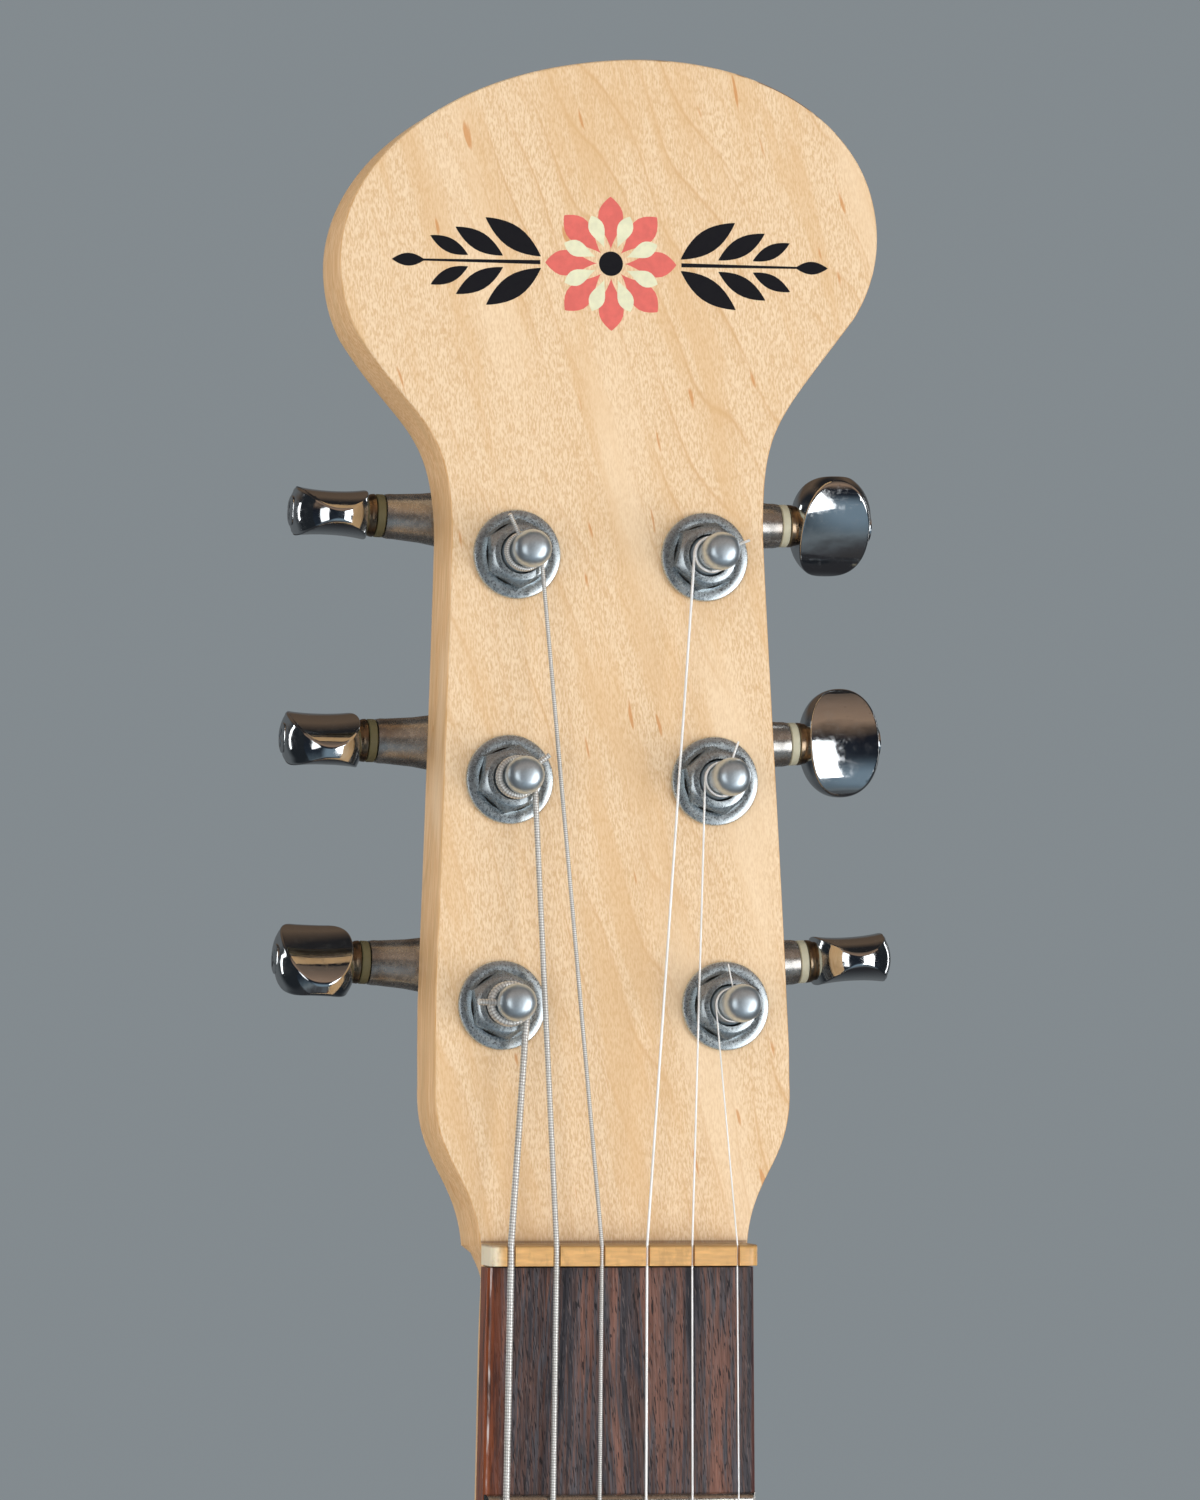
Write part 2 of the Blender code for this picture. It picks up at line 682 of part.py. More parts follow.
def build_tuner(string, mats):
    frame = tuner_frame(string)
    side = side_of(string)
    back = -HEAD_DEPTH
    axis_height = back - WORM_DEPTH
    shaft_line = axes(Vector((0, side * WORM_OFFSET, axis_height)), Vector((0, 1, 0)),
                      Vector((0, 0, 1)), Vector((1, 0, 0)))

    low, high = -HOUSING_MARGIN[0], WORM_OFFSET + HOUSING_MARGIN[1]
    half = (HOUSING_REACH[1] - HOUSING_REACH[0]) / 2
    middle = ((HOUSING_REACH[0] + HOUSING_REACH[1]) / 2, side * (low + high) / 2)
    case = rounded_rectangle(half, (high - low) / 2, HOUSING_ROUND, middle, 2)
    small = rounded_rectangle(half - 1.4, (high - low) / 2 - 1.4, HOUSING_ROUND - 1.2, middle, 2)
    levels = ((back - GAP, case), (back - HOUSING_DEPTH + 1.4, case), (back - HOUSING_DEPTH, small))
    housing = loft([[(x, y, z) for x, y in points] for z, points in levels])
    housing_object = new_object("tuner_housing_%d" % string, housing, mats["chrome"], frame)
    stem = turned([(STEM_RADII[0], 4.0), (STEM_RADII[0], 8.0), (STEM_RADII[1], STEM_END)], 12)
    carve(housing_object, stem.moved(shaft_line), "UNION")
    shaft_bore = turned([(SHAFT_RADIUS + GAP, -5.5), (SHAFT_RADIUS + GAP, STEM_END + 2)], 12)
    post_bore = turned([(POST_RADIUS + GAP, axis_height - 3.3), (POST_RADIUS + GAP, back + 2)], 12)
    carve(housing_object, together([shaft_bore.moved(shaft_line), post_bore]))

    sides = 18
    washer_top = GAP + WASHER_THICKNESS
    sleeve = BUSHING_SLEEVE_RADIUS
    bore = POST_RADIUS + GAP
    bushing = loft([ring(sleeve, back + GAP, sides), ring(sleeve, GAP, sides),
                    ring(WASHER_RADIUS, GAP, sides), ring(WASHER_RADIUS, washer_top, sides),
                    ring(0, washer_top, sides, BUSHING_FLATS),
                    ring(0, BUSHING_TOP - 0.8, sides, BUSHING_FLATS),
                    ring(BUSHING_TOP_RADIUS, BUSHING_TOP, sides),
                    ring(bore, BUSHING_TOP, sides), ring(bore, back + GAP, sides)], True)
    new_object("tuner_bushing_%d" % string, bushing, mats["plated"], frame)

    post_axis = axis_empty("post_axis_%d" % string, frame)
    foot = axis_height - 3.0
    waist_start = BUSHING_TOP + 0.3
    post = turned([(POST_RADIUS, foot), (POST_RADIUS, BUSHING_TOP),
                   (POST_WAIST_RADIUS, waist_start), (POST_WAIST_RADIUS, POST_CAP_START - 0.7),
                   (POST_CAP_RADIUS, POST_CAP_START), (POST_CAP_RADIUS, POST_TOP - 1.7),
                   (POST_CAP_RADIUS * 0.83, POST_TOP - 0.65),
                   (POST_CAP_RADIUS * 0.42, POST_TOP)], 12)
    post_object = new_object("tuner_post_%d" % string, post, mats["chrome"], parent=post_axis)
    hole = turned([(POST_HOLE_RADIUS, -4.0), (POST_HOLE_RADIUS, 4.0)], 6)
    cross = axes(Vector((0, 0, POST_HOLE_HEIGHT)), Vector((0, 1, 0)), Vector((0, 0, 1)),
                 Vector((1, 0, 0)))
    carve(post_object, hole.moved(cross))

    build_key(string, mats)


def button_shape():
    """An oval button, hollowed along the shaft and crowned across it."""
    middle = BUTTON_START + BUTTON_LENGTH / 2
    columns = 20

    def level(share, way, drop):
        points = []
        for i in range(columns):
            turn = 2 * math.pi * i / columns
            b = BUTTON_WIDTH / 2 * share * math.sin(turn)
            a = BUTTON_LENGTH / 2 * share * math.cos(turn)
            hollow = BUTTON_WAIST + (BUTTON_RIM - BUTTON_WAIST) * (a / BUTTON_LENGTH * 2) ** 2
            crown = math.sqrt(1 - (b / (BUTTON_WIDTH / 2 * BUTTON_CROWN)) ** 2)
            points.append((b, way * (hollow / 2 * crown - drop), middle + a))
        return points

    return loft([level(0.35, -1, 0), level(0.7, -1, 0), level(0.96, -1, 0.05),
                 level(1.0, -1, 0.5), level(1.0, 1, 0.5), level(0.96, 1, 0.05),
                 level(0.7, 1, 0), level(0.35, 1, 0)])


def build_key(string, mats):
    """Button, worm shaft, nylon washer and collar, which turn as one."""
    axis = axis_empty("key_axis_%d" % string, key_frame(string))
    washer = STEM_END + GAP
    shaft = turned([(SHAFT_RADIUS, -5.0), (SHAFT_RADIUS, washer), (NYLON_RADIUS, washer),
                    (NYLON_RADIUS, washer + NYLON_THICKNESS),
                    (COLLAR_RADIUS, washer + NYLON_THICKNESS + 0.4),
                    (COLLAR_RADIUS, BUTTON_START + 1.6)], 12)
    key = new_object("tuner_key_%d" % string, button_shape(), mats["chrome"], parent=axis)
    carve(key, shaft, "UNION")


# Strings

def coil_on_post(string):
    """Where a string meets its post, and its turns from there to the post's hole."""
    side = side_of(string)
    radius = STRING_DIAMETER[string] / 2
    reach = POST_WAIST_RADIUS + GAP + radius
    row = row_of(string)
    centre = Vector((side * TUNER_HALF_SPACING[row], TUNER_ROW_START + row * TUNER_ROW_PITCH))
    nut = Vector((string_at_nut(string).x, 0.0))
    away = nut - centre
    touch = math.acos(reach / away.length)
    base = math.atan2(away.y, away.x)
    first = base - side * touch
    rise = (2 * radius + COIL_SPACING) * COIL_TURNS
    count = round(COIL_TURNS * COIL_POINTS)
    points = []
    for i in range(count + 1):
        angle = first - side * 2 * math.pi * i / COIL_POINTS
        u = centre.x + reach * math.cos(angle)
        s = centre.y + reach * math.sin(angle)
        points.append(on_head(u, s, COIL_START + rise * i / count))
    return points


def string_points(string):
    radius = STRING_DIAMETER[string] / 2
    nut, saddle = string_at_nut(string), string_at_saddle(string)
    hole = Vector((saddle.x, -TAIL_HOLE_HEIGHT, TAIL_BLOCK_PLACE))
    points = [hole + Vector((0, 0, -TAIL_BLOCK_LENGTH - 2)), hole + Vector((0, 0, 1.5))]
    for share in (-0.52, -0.3, 0.0):
        place = BUZZ_LENGTH * share
        fall = place * place / 2 / BUZZ_CURVE
        points.append(saddle + Vector((0, fall, place)))
    points.append(nut)
    points.append(nut + Vector((0, 0, NUT_LENGTH)))
    coil = coil_on_post(string)
    points += coil
    gap = min((a - b).length for i, a in enumerate(coil) for b in coil[i + COIL_POINTS // 2:])
    gap -= 2 * radius
    print("string %d: least gap between its turns %.2f mm" % (string, gap))
    return points


def build_strings(mats):
    for string, diameter in STRING_DIAMETER.items():
        mat = mats["steel"] if string <= 3 else mats["wound"]
        tube("string_%d" % string, string_points(string), diameter / 2, mat)


# Body

def body_outline():
    """Counter-clockwise seen with +X right and +Z up, starting at the treble shoulder."""
    join = ellipse_point((0.0, BOWL_CENTRE), BOWL_RADII, 0.0, BOWL_JOIN)
    slope = Vector((-BOWL_RADII[0] * math.sin(BOWL_JOIN),
                    BOWL_RADII[1] * math.cos(BOWL_JOIN))).normalized()
    shoulder = (SHOULDER_HALF, SHOULDER_START)
    right = bezier(join, (join[0] + slope.x * BOWL_SWEEP, join[1] + slope.y * BOWL_SWEEP),
                   (SHOULDER_HALF, SHOULDER_START - SHOULDER_SWEEP), shoulder, 10)
    corner_x, corner_z = SHOULDER_HALF - SHOULDER_ROUND, SHOULDER_START
    for i in range(5):
        turn = math.pi / 2 * i / 4
        right.append((corner_x + SHOULDER_ROUND * math.cos(turn),
                      corner_z + SHOULDER_ROUND * math.sin(turn)))
    left = [(-x, z) for x, z in reversed(right[1:])]
    start, end = math.pi - BOWL_JOIN, 2 * math.pi + BOWL_JOIN
    steps = 36
    bowl = [ellipse_point((0.0, BOWL_CENTRE), BOWL_RADII, 0.0, start + (end - start) * i / steps)
            for i in range(steps)]
    return right + left + bowl


def pocket(front, back, wider=0.0):
    """The space for the neck's heel, open at the top end of the body."""
    half = half_width(HEEL_END) + GAP + wider
    return block((-half, front, HEEL_END - GAP - wider), (half, back, SHOULDER_START + 30))


def jack_frame():
    """On the jack's axis at the plane of the jack's land, Z pointing out of the side."""
    return axes(Vector((JACK_LAND, BODY_MIDDLE, BOWL_CENTRE)), Vector((0, 1, 0)),
                Vector((0, 0, 1)), Vector((1, 0, 0)))


def jack_land():
    return block((JACK_LAND, BODY_FRONT, BOWL_CENTRE - JACK_LAND_HALF),
                 (JACK_LAND + 9, BODY_BACK, BOWL_CENTRE + JACK_LAND_HALF))


def strap_frames():
    """The end button points down the centre line and the heel button to the back."""
    bottom = BOWL_CENTRE - BOWL_RADII[1]
    end = axes(Vector((0, BODY_MIDDLE, bottom)), Vector((1, 0, 0)), Vector((0, -1, 0)),
               Vector((0, 0, -1)))
    heel = axes(Vector((0, BODY_BACK, STRAP_HEEL_PLACE)), Vector((1, 0, 0)),
                Vector((0, 0, -1)), Vector((0, 1, 0)))
    return {"strap_button_end": end, "strap_button_heel": heel}


def strap_holes():
    hole = turned([(STRAP_SCREW_RADIUS + GAP, -STRAP_SCREW_LENGTH - 0.5),
                   (STRAP_SCREW_RADIUS + GAP, 2.0)], 8)
    return together([hole.moved(frame) for frame in strap_frames().values()])


def chamber(side):
    """A hollow between the rim and the core, through the whole frame."""
    points = [(x, z) for x, z in inset(body_outline(), RIM_WIDTH, True)
              if x > CORE_HALF and z < CHAMBER_TOP]
    points.sort(key=lambda p: -p[1])
    points = [(CORE_HALF, points[0][1])] + points + [(CORE_HALF, points[-1][1])]
    return prism([(side * x, z) for x, z in points], RIM_FRONT - 2, RIM_BACK + 2)


def build_frame(mat):
    outline = inset(body_outline(), BINDING_THICKNESS + GAP, True)
    frame = new_object("body_frame", prism(outline, RIM_FRONT, RIM_BACK), mat)
    carve(frame, chamber(1))
    carve(frame, chamber(-1))
    carve(frame, pocket(RIM_FRONT - 2, HEEL_DEPTH + GAP))
    carve(frame, pickup_pocket())
    carve(frame, jack_land())
    carve(frame, turned([(JACK_BODY_RADIUS + 0.5, -max(RIM_WIDTH + 8, JACK_DEPTH + 1)),
                         (JACK_BODY_RADIUS + 0.5, 2)], 12).moved(jack_frame()))
    carve(frame, neck_screw_holes(HEEL_DEPTH - 3, RIM_BACK + 2, NECK_SCREW_RADIUS + GAP))
    carve(frame, strap_holes())
    return frame


def pickup_middle():
    return PICKUP_RADIUS - PICKUP_HEIGHT


def pickup_pocket():
    half = PICKUP_HALF_LENGTH + 1.0
    return block((-half, RIM_FRONT - 2, PICKUP_PLACE - PICKUP_RADIUS - 1.0),
                 (CORE_HALF + 3, RIM_FRONT + 12, PICKUP_PLACE + PICKUP_RADIUS + 1.0))


def pot_holes(front, back):
    holes = [along_y(POT_BUSHING_RADIUS + GAP, front, back, *knob_place(which))
             for which in ("volume", "tone")]
    return together(holes)


def build_panels(mats):
    outline = body_outline()
    rounded = inset(outline, PANEL_ROUND, True)
    front, back = BODY_FRONT, RIM_FRONT - GAP
    top = stacked([(front, rounded), (front + PANEL_ROUND, outline), (back, outline)])
    top_object = new_object("top_panel", top, mats["crackle"])
    carve(top_object, pocket(front - 2, back + 2))
    half = PICKUP_HALF_LENGTH + GAP
    carve(top_object, block((-half, front - 2, PICKUP_PLACE - PICKUP_RADIUS - GAP),
                            (half, back + 2, PICKUP_PLACE + PICKUP_RADIUS + GAP)))
    carve(top_object, pot_holes(front - 2, back + 2))
    carve(top_object, jack_land())

    front, back = RIM_BACK + GAP, BODY_BACK
    rear = stacked([(front, outline), (back - PANEL_ROUND, outline), (back, rounded)])
    rear_object = new_object("back_panel", rear, mats["crackle"])
    carve(rear_object, neck_screw_holes(front - 2, back + 2, NECK_SCREW_RADIUS + GAP))
    carve(rear_object, strap_holes())
    carve(rear_object, jack_land())

    outer = [[(x, y, z) for x, z in outline] for y in (RIM_FRONT, RIM_BACK)]
    inner_outline = inset(outline, BINDING_THICKNESS, True)
    inner = [[(x, y, z) for x, z in inner_outline] for y in (RIM_BACK, RIM_FRONT)]
    band = new_object("edge_binding", loft(outer + inner, True), mats["cream"])
    carve(band, pocket(RIM_FRONT - 2, HEEL_DEPTH + GAP))
    carve(band, jack_land())
    carve(band, strap_holes())


def build_neck_plate(mat):
    outline = rounded_rectangle(PLATE_SIZE[0] / 2, PLATE_SIZE[1] / 2, PLATE_ROUND,
                                (0.0, PLATE_CENTRE))
    small = inset(outline, 0.6, True)
    front = BODY_BACK + GAP
    back = front + PLATE_THICKNESS
    plate = stacked([(front, outline), (back - 0.6, outline), (back, small)])
    obj = new_object("neck_plate", plate, mat)
    for x, z in neck_screw_places():
        shank = along_y(NECK_SCREW_RADIUS, NECK_SCREW_TIP, back - 0.5, x, z, 10)
        carve(obj, shank, "UNION")
    return obj


# Pickup and bridge

def build_pickup(mats):
    """A chromed tube with domed ends, slit along its back, and the wound bar inside."""
    line = axes(Vector((0, pickup_middle(), PICKUP_PLACE)), Vector((0, 1, 0)),
                Vector((0, 0, 1)), Vector((1, 0, 0)))
    end, radius = PICKUP_HALF_LENGTH, PICKUP_RADIUS

    def capsule(r, reach):
        steps = [(r * 0.55, -reach), (r * 0.9, -reach + 1.6), (r, -reach + 4.0)]
        steps += [(a, -b) for a, b in reversed(steps)]
        return turned(steps, 16)

    tube_object = new_object("pickup_cover", capsule(radius, end), mats["chrome"], line)
    carve(tube_object, turned([(radius - PICKUP_WALL, -end + 4), (radius - PICKUP_WALL, end - 4)],
                              12))
    slit = block((1.0, -1.5, -end + 6), (radius + 2, 1.5, end - 6))
    carve(tube_object, slit)
    length, deep, wide = COIL_SIZE
    bar = block((-deep / 2, -wide / 2, -length / 2), (deep / 2, wide / 2, length / 2))
    new_object("pickup_coil", bar, mats["black"], line)


def build_bridge(mats):
    low, high = BASE_TOP - BASE_LENGTH, BASE_TOP
    back = BODY_FRONT - GAP
    front = back - BASE_THICKNESS
    centre = (0.0, (low + high) / 2)
    outline = rounded_rectangle(BASE_HALF_WIDTH, BASE_LENGTH / 2, BASE_ROUND, centre)
    base = new_object("bridge_base", prism(outline, front, back), mats["chrome"])
    for side in (-1, 1):
        outer, inner = side * BASE_HALF_WIDTH, side * (BASE_HALF_WIDTH - BASE_THICKNESS)
        flange = block((min(outer, inner), back - BASE_THICKNESS - BASE_FLANGE, low + 6),
                       (max(outer, inner), back - BASE_THICKNESS / 3, high - 6))
        carve(base, flange, "UNION")

    buzz_axis = axis_empty("buzz_slide", axes(Vector((0, -BUZZ_TOP, -SCALE_LENGTH)),
                                              Vector((1, 0, 0)), Vector((0, 1, 0)),
                                              Vector((0, 0, 1))))
    profile = []
    steps = 12
    for i in range(steps + 1):
        z = BUZZ_LENGTH * (i / steps - 0.5)
        profile.append((z * z / 2 / BUZZ_CURVE, z))
    depth = BUZZ_TOP - BUZZ_UNDERSIDE
    profile += [(depth, BUZZ_LENGTH / 2 - 1.5), (depth, -BUZZ_LENGTH / 2 + 1.5)]
    rings = [[(x, y, z) for y, z in profile] for x in (-BUZZ_HALF_WIDTH, BUZZ_HALF_WIDTH)]
    buzz = new_object("buzz_plate", loft(rings), mats["brass"], parent=buzz_axis)
    holes = [along_y(HEIGHT_SCREW_RADIUS + GAP, -3, depth + 3, side * HEIGHT_SCREW_PLACE, 0, 10)
             for side in (-1, 1)]
    carve(buzz, together(holes))

    for name, side in (("height_screw_bass", -1), ("height_screw_treble", 1)):
        head_low = BUZZ_TOP + GAP
        foot = -front + GAP
        screw = turned([(HEIGHT_SCREW_RADIUS, foot), (HEIGHT_SCREW_RADIUS, head_low),
                        (HEIGHT_HEAD_RADIUS, head_low), (HEIGHT_HEAD_RADIUS, head_low + 0.9),
                        (HEIGHT_HEAD_RADIUS - 0.8, head_low + 1.5)], 12)
        stand = axes(Vector((side * HEIGHT_SCREW_PLACE, 0, -SCALE_LENGTH)), Vector((1, 0, 0)),
                     Vector((0, 0, 1)), Vector((0, -1, 0)))
        new_object(name, screw, mats["chrome"], stand)

    half = string_at_saddle(1).x + 7
    high_z = TAIL_BLOCK_PLACE
    tail = block((-half, -TAIL_BLOCK_HEIGHT, high_z - TAIL_BLOCK_LENGTH),
                 (half, front - GAP, high_z))
    tail_object = new_object("tail_block", tail, mats["brass"])
    drills = []
    for string, diameter in STRING_DIAMETER.items():
        drill = turned([(diameter / 2 + GAP, high_z - TAIL_BLOCK_LENGTH - 2),
                        (diameter / 2 + GAP, high_z + 2)], 8)
        place = Matrix.Translation((string_at_saddle(string).x, -TAIL_HOLE_HEIGHT, 0))
        drills.append(drill.moved(place))
    carve(tail_object, together(drills))


# Controls, jack and strap buttons

def build_guard(mat):
    front = BODY_FRONT - GAP - GUARD_THICKNESS
    outline = [ellipse_point(GUARD_CENTRE, GUARD_RADII, -GUARD_TURN, 2 * math.pi * i / 36)
               for i in range(36)]
    small = inset(outline, 0.8, True)
    guard = stacked([(front, small), (front + 0.8, outline), (BODY_FRONT - GAP, outline)])
    obj = new_object("pickguard", guard, mat)
    carve(obj, pot_holes(front - 2, BODY_FRONT + 2))
    return obj


def build_control(which, mats):
    x, z = knob_place(which)
    guard_front = BODY_FRONT - GAP - GUARD_THICKNESS
    place = axes(Vector((x, 0, z)), Vector((1, 0, 0)), Vector((0, 0, 1)), Vector((0, -1, 0)))
    shoulder = -RIM_FRONT
    nut_low = -guard_front + GAP
    nut_high = nut_low + POT_NUT_HEIGHT
    bore = KNOB_SHAFT_RADIUS + GAP
    sides = 12
    pot = loft([ring(0.5, shoulder - POT_DEPTH, sides),
                ring(POT_RADIUS, shoulder - POT_DEPTH, sides), ring(POT_RADIUS, shoulder, sides),
                ring(POT_BUSHING_RADIUS, shoulder, sides), ring(POT_BUSHING_RADIUS, nut_low, sides),
                ring(0, nut_low, sides, POT_NUT_FLATS), ring(0, nut_high, sides, POT_NUT_FLATS),
                ring(bore, nut_high, sides), ring(bore, shoulder - POT_DEPTH / 2, sides),
                ring(0.5, shoulder - POT_DEPTH / 2, sides)])
    new_object(which + "_pot", pot, mats["plated"], place)

    axis = axis_empty(which + "_axis", place)
    knob_low = nut_high + 0.6
    knob_high = knob_low + KNOB_HEIGHT
    shaft_high = knob_high - 2.5
    shaft = turned([(KNOB_SHAFT_RADIUS, shoulder - POT_DEPTH / 2 + GAP),
                    (KNOB_SHAFT_RADIUS, shaft_high)], 12)
    new_object(which + "_shaft", shaft, mats["plated"], parent=axis)
    knob = turned([(bore, knob_low), (KNOB_SKIRT_RADIUS, knob_low),
                   (KNOB_SKIRT_RADIUS, knob_low + 1.8), (KNOB_RADIUS, knob_low + 3.2),
                   (KNOB_RADIUS - 0.5, knob_high - 0.8), (KNOB_RADIUS - 1.3, knob_high),
                   (0.5, knob_high)], 20)
    inner = turned([(bore, knob_low), (bore, shaft_high + GAP), (0.5, shaft_high + GAP)], 20)
    knob = hollow(knob, inner, 20)
    new_object(which + "_knob", knob, mats["cream"], parent=axis)


def hollow(outer, inner, sides):
    """Join an outer and an inner turned surface that share their first ring."""
    outer_rings = [outer.verts[i:i + sides] for i in range(0, len(outer.verts), sides)]
    inner_rings = [inner.verts[i:i + sides] for i in range(0, len(inner.verts), sides)]
    return loft(list(reversed(inner_rings)) + outer_rings[1:])


def build_jack(mats):
    frame = jack_frame()
    plate_front = GAP + JACK_PLATE_THICKNESS
    outline = rounded_rectangle(JACK_PLATE_SIZE[0] / 2, JACK_PLATE_SIZE[1] / 2, 4.0)
    plate = loft([[(x, y, z) for x, y in outline] for z in (GAP, plate_front)])
    plate_object = new_object("jack_plate", plate, mats["chrome"], frame)
    hole = JACK_BARREL_RADIUS + GAP
    carve(plate_object, turned([(hole, -2), (hole, plate_front + 2)], 14))

    nut_low = plate_front + GAP
    nut_high = nut_low + JACK_NUT_THICKNESS
    end = nut_high + 1.2
    sides = 12
    jack = loft([ring(0.5, -JACK_DEPTH, sides), ring(JACK_BODY_RADIUS, -JACK_DEPTH, sides),
                 ring(JACK_BODY_RADIUS, 0.0, sides), ring(JACK_BARREL_RADIUS, 0.0, sides),
                 ring(JACK_BARREL_RADIUS, nut_low, sides),
                 ring(0, nut_low, sides, JACK_NUT_FLATS), ring(0, nut_high, sides, JACK_NUT_FLATS),
                 ring(JACK_BARREL_RADIUS, nut_high, sides), ring(JACK_BARREL_RADIUS, end, sides),
                 ring(JACK_BORE_RADIUS, end, sides),
                 ring(JACK_BORE_RADIUS, -JACK_DEPTH + 2, sides),
                 ring(0.5, -JACK_DEPTH + 2, sides)])
    new_object("output_jack", jack, mats["plated"], frame)


def build_strap_buttons(mat):
    for name, frame in strap_frames().items():
        button = turned([(STRAP_SCREW_RADIUS, -STRAP_SCREW_LENGTH), (STRAP_SCREW_RADIUS, GAP),
                         (5.5, GAP), (STRAP_WAIST_RADIUS, 2.5), (STRAP_WAIST_RADIUS, 8.0),
                         (STRAP_HEAD_RADIUS, STRAP_HEIGHT - 2.0),
                         (STRAP_HEAD_RADIUS - 1.0, STRAP_HEIGHT)], 14)
        new_object(name, button, mat, frame)


def main():
    for obj in list(bpy.data.objects):
        bpy.data.objects.remove(obj, do_unlink=True)
    mats = {
        "maple": material("maple", (0.80, 0.57, 0.30), 0.35),
        "rosewood": material("rosewood", (0.07, 0.028, 0.018), 0.5),
        "bone": material("bone", (0.74, 0.45, 0.16), 0.4),
        "chrome": material("chrome", (0.62, 0.62, 0.63), 0.12, 1.0),
        "plated": material("plated", (0.42, 0.45, 0.48), 0.35, 1.0),
        "steel": material("steel", (0.75, 0.75, 0.74), 0.2, 1.0),
        "wound": material("wound", (0.5, 0.49, 0.46), 0.35, 1.0),
        "crackle": material("crackle", (0.25, 0.012, 0.01), 0.2),
        "poplar": material("poplar", (0.6, 0.5, 0.32), 0.6),
        "cream": material("cream", (0.78, 0.70, 0.52), 0.4),
        "black": material("black", (0.02, 0.02, 0.02), 0.5),
        "brass": material("brass", (0.62, 0.45, 0.2), 0.25, 1.0),
    }
    build_neck(mats["maple"])
    build_truss_rod(mats["steel"])
    build_fretboard(mats["rosewood"])
    build_nut(mats["bone"])
    build_neck_plate(mats["chrome"])
    for string in STRING_DIAMETER:
        build_tuner(string, mats)
    build_strings(mats)
    build_frame(mats["poplar"])
    build_panels(mats)
    build_pickup(mats)
    build_bridge(mats)
    build_guard(mats["cream"])
    for which in ("volume", "tone"):
        build_control(which, mats)
    build_jack(mats)
    build_strap_buttons(mats["chrome"])


main()
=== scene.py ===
from math import acos, atan2, copysign, cos, pi, radians, sin, sqrt

import bmesh
import bpy
from bpy.props import FloatProperty, FloatVectorProperty, IntProperty, PointerProperty
from mathutils import Matrix, Vector


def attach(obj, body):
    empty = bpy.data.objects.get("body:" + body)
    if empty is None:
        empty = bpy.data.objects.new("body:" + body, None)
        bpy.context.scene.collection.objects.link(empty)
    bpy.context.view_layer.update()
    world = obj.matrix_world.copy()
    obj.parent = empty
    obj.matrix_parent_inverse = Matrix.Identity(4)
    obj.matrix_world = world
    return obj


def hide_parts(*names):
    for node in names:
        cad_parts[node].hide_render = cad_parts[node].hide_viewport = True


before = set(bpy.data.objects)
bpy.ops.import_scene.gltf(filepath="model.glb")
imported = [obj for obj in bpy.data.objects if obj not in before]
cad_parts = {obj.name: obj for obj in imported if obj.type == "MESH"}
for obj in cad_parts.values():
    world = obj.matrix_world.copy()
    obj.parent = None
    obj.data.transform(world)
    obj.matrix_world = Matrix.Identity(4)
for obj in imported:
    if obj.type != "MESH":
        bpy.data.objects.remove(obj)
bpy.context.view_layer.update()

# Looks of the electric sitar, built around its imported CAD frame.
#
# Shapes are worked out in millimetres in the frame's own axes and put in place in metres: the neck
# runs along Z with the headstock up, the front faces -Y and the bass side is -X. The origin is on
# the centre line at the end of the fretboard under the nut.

bl_info = {
    "name": "Electric sitar",
    "version": (1, 0, 0),
    "blender": (4, 5, 0),
    "location": "3D View > Sidebar > Sitar",
    "description": "Models the pieces of a six-string electric sitar around its frame",
    "category": "Object",
}

MM = 0.001
GAP = 0.3
STRINGS = (1, 2, 3, 4, 5, 6)
STRING_DIAMETER = {1: 0.25, 2: 0.33, 3: 0.43, 4: 0.66, 5: 0.91, 6: 1.07}
WINDING_PITCH = {4: 0.32, 5: 0.42, 6: 0.48}
WIRE_SIDES = 8
TUNER_ROW_START = 36.4
TUNER_ROW_PITCH = 34.64
TUNER_HALF_SPACING = (17.63, 16.21, 14.85)
TUNER_SKEW = {1: 3.39, 2: 1.62, 3: 0.41, 4: 2.46, 5: 1.26, 6: 2.08}
BUTTON_TURN = {1: 86.3, 2: 0.0, 3: -33.0, 4: 82.5, 5: 71.5, 6: 55.0}
NUT_TURN = {1: -6, 2: 9, 3: -13, 4: 4, 5: -9, 6: 7}
# Where each string's cut end points out of its post, in degrees from the treble side, and how far.
STUB_TURN = {1: 104.0, 2: 72.0, 3: 21.0, 4: 118.0, 5: 36.0, 6: 178.0}
STUB_REACH = {1: 6.3, 2: 5.9, 3: 5.6, 4: 6.2, 5: 5.6, 6: 5.4}
HEAD_TILT = radians(3.43)
HEAD_DEPTH = 14.0
HEAD_SHOULDER = (28.0, 25.0)
HEAD_WAIST = (24.7, 108.7)
HEAD_FRONT_ROUND = 0.4
HEAD_BACK_ROUND = 1.5
BULB_CENTRE = (0.46, 153.2)
BULB_RADII = (42.9, 29.25)
BULB_TURN = radians(8.4)
BULB_FULLNESS = 2.09
ORNAMENT_CENTRE = (0.5, 151.0)
NECK_ROUNDNESS = 1.8
NECK_DEPTH = 15.0
NECK_TAPER = 2.0
HEEL_DEPTH = 22.0
HEEL_LENGTH = 71.0
HEEL_BLEND = 50.0
NUT_BLEND = 14.0
NUT_LENGTH = 3.46
NUT_WIDTH = 41.9
NUT_TOP = 7.7
NUT_SLOT_FLOOR = 6.5
NUT_SPACING = 7.12
BRIDGE_SPACING = 10.5
STRING_SHIFT = -0.1
BOARD_TOP = 5.5
BOARD_HALFWAY_WIDTH = 51.5
BOARD_OVERHANG = 8.8
BOARD_RADIUS = 355.6
BODY_FRONT = 2.5
BODY_BACK = 46.5
PANEL_THICKNESS = 3.2
POCKET_MOUTH = -355.0
BUZZ_LENGTH = 36.0
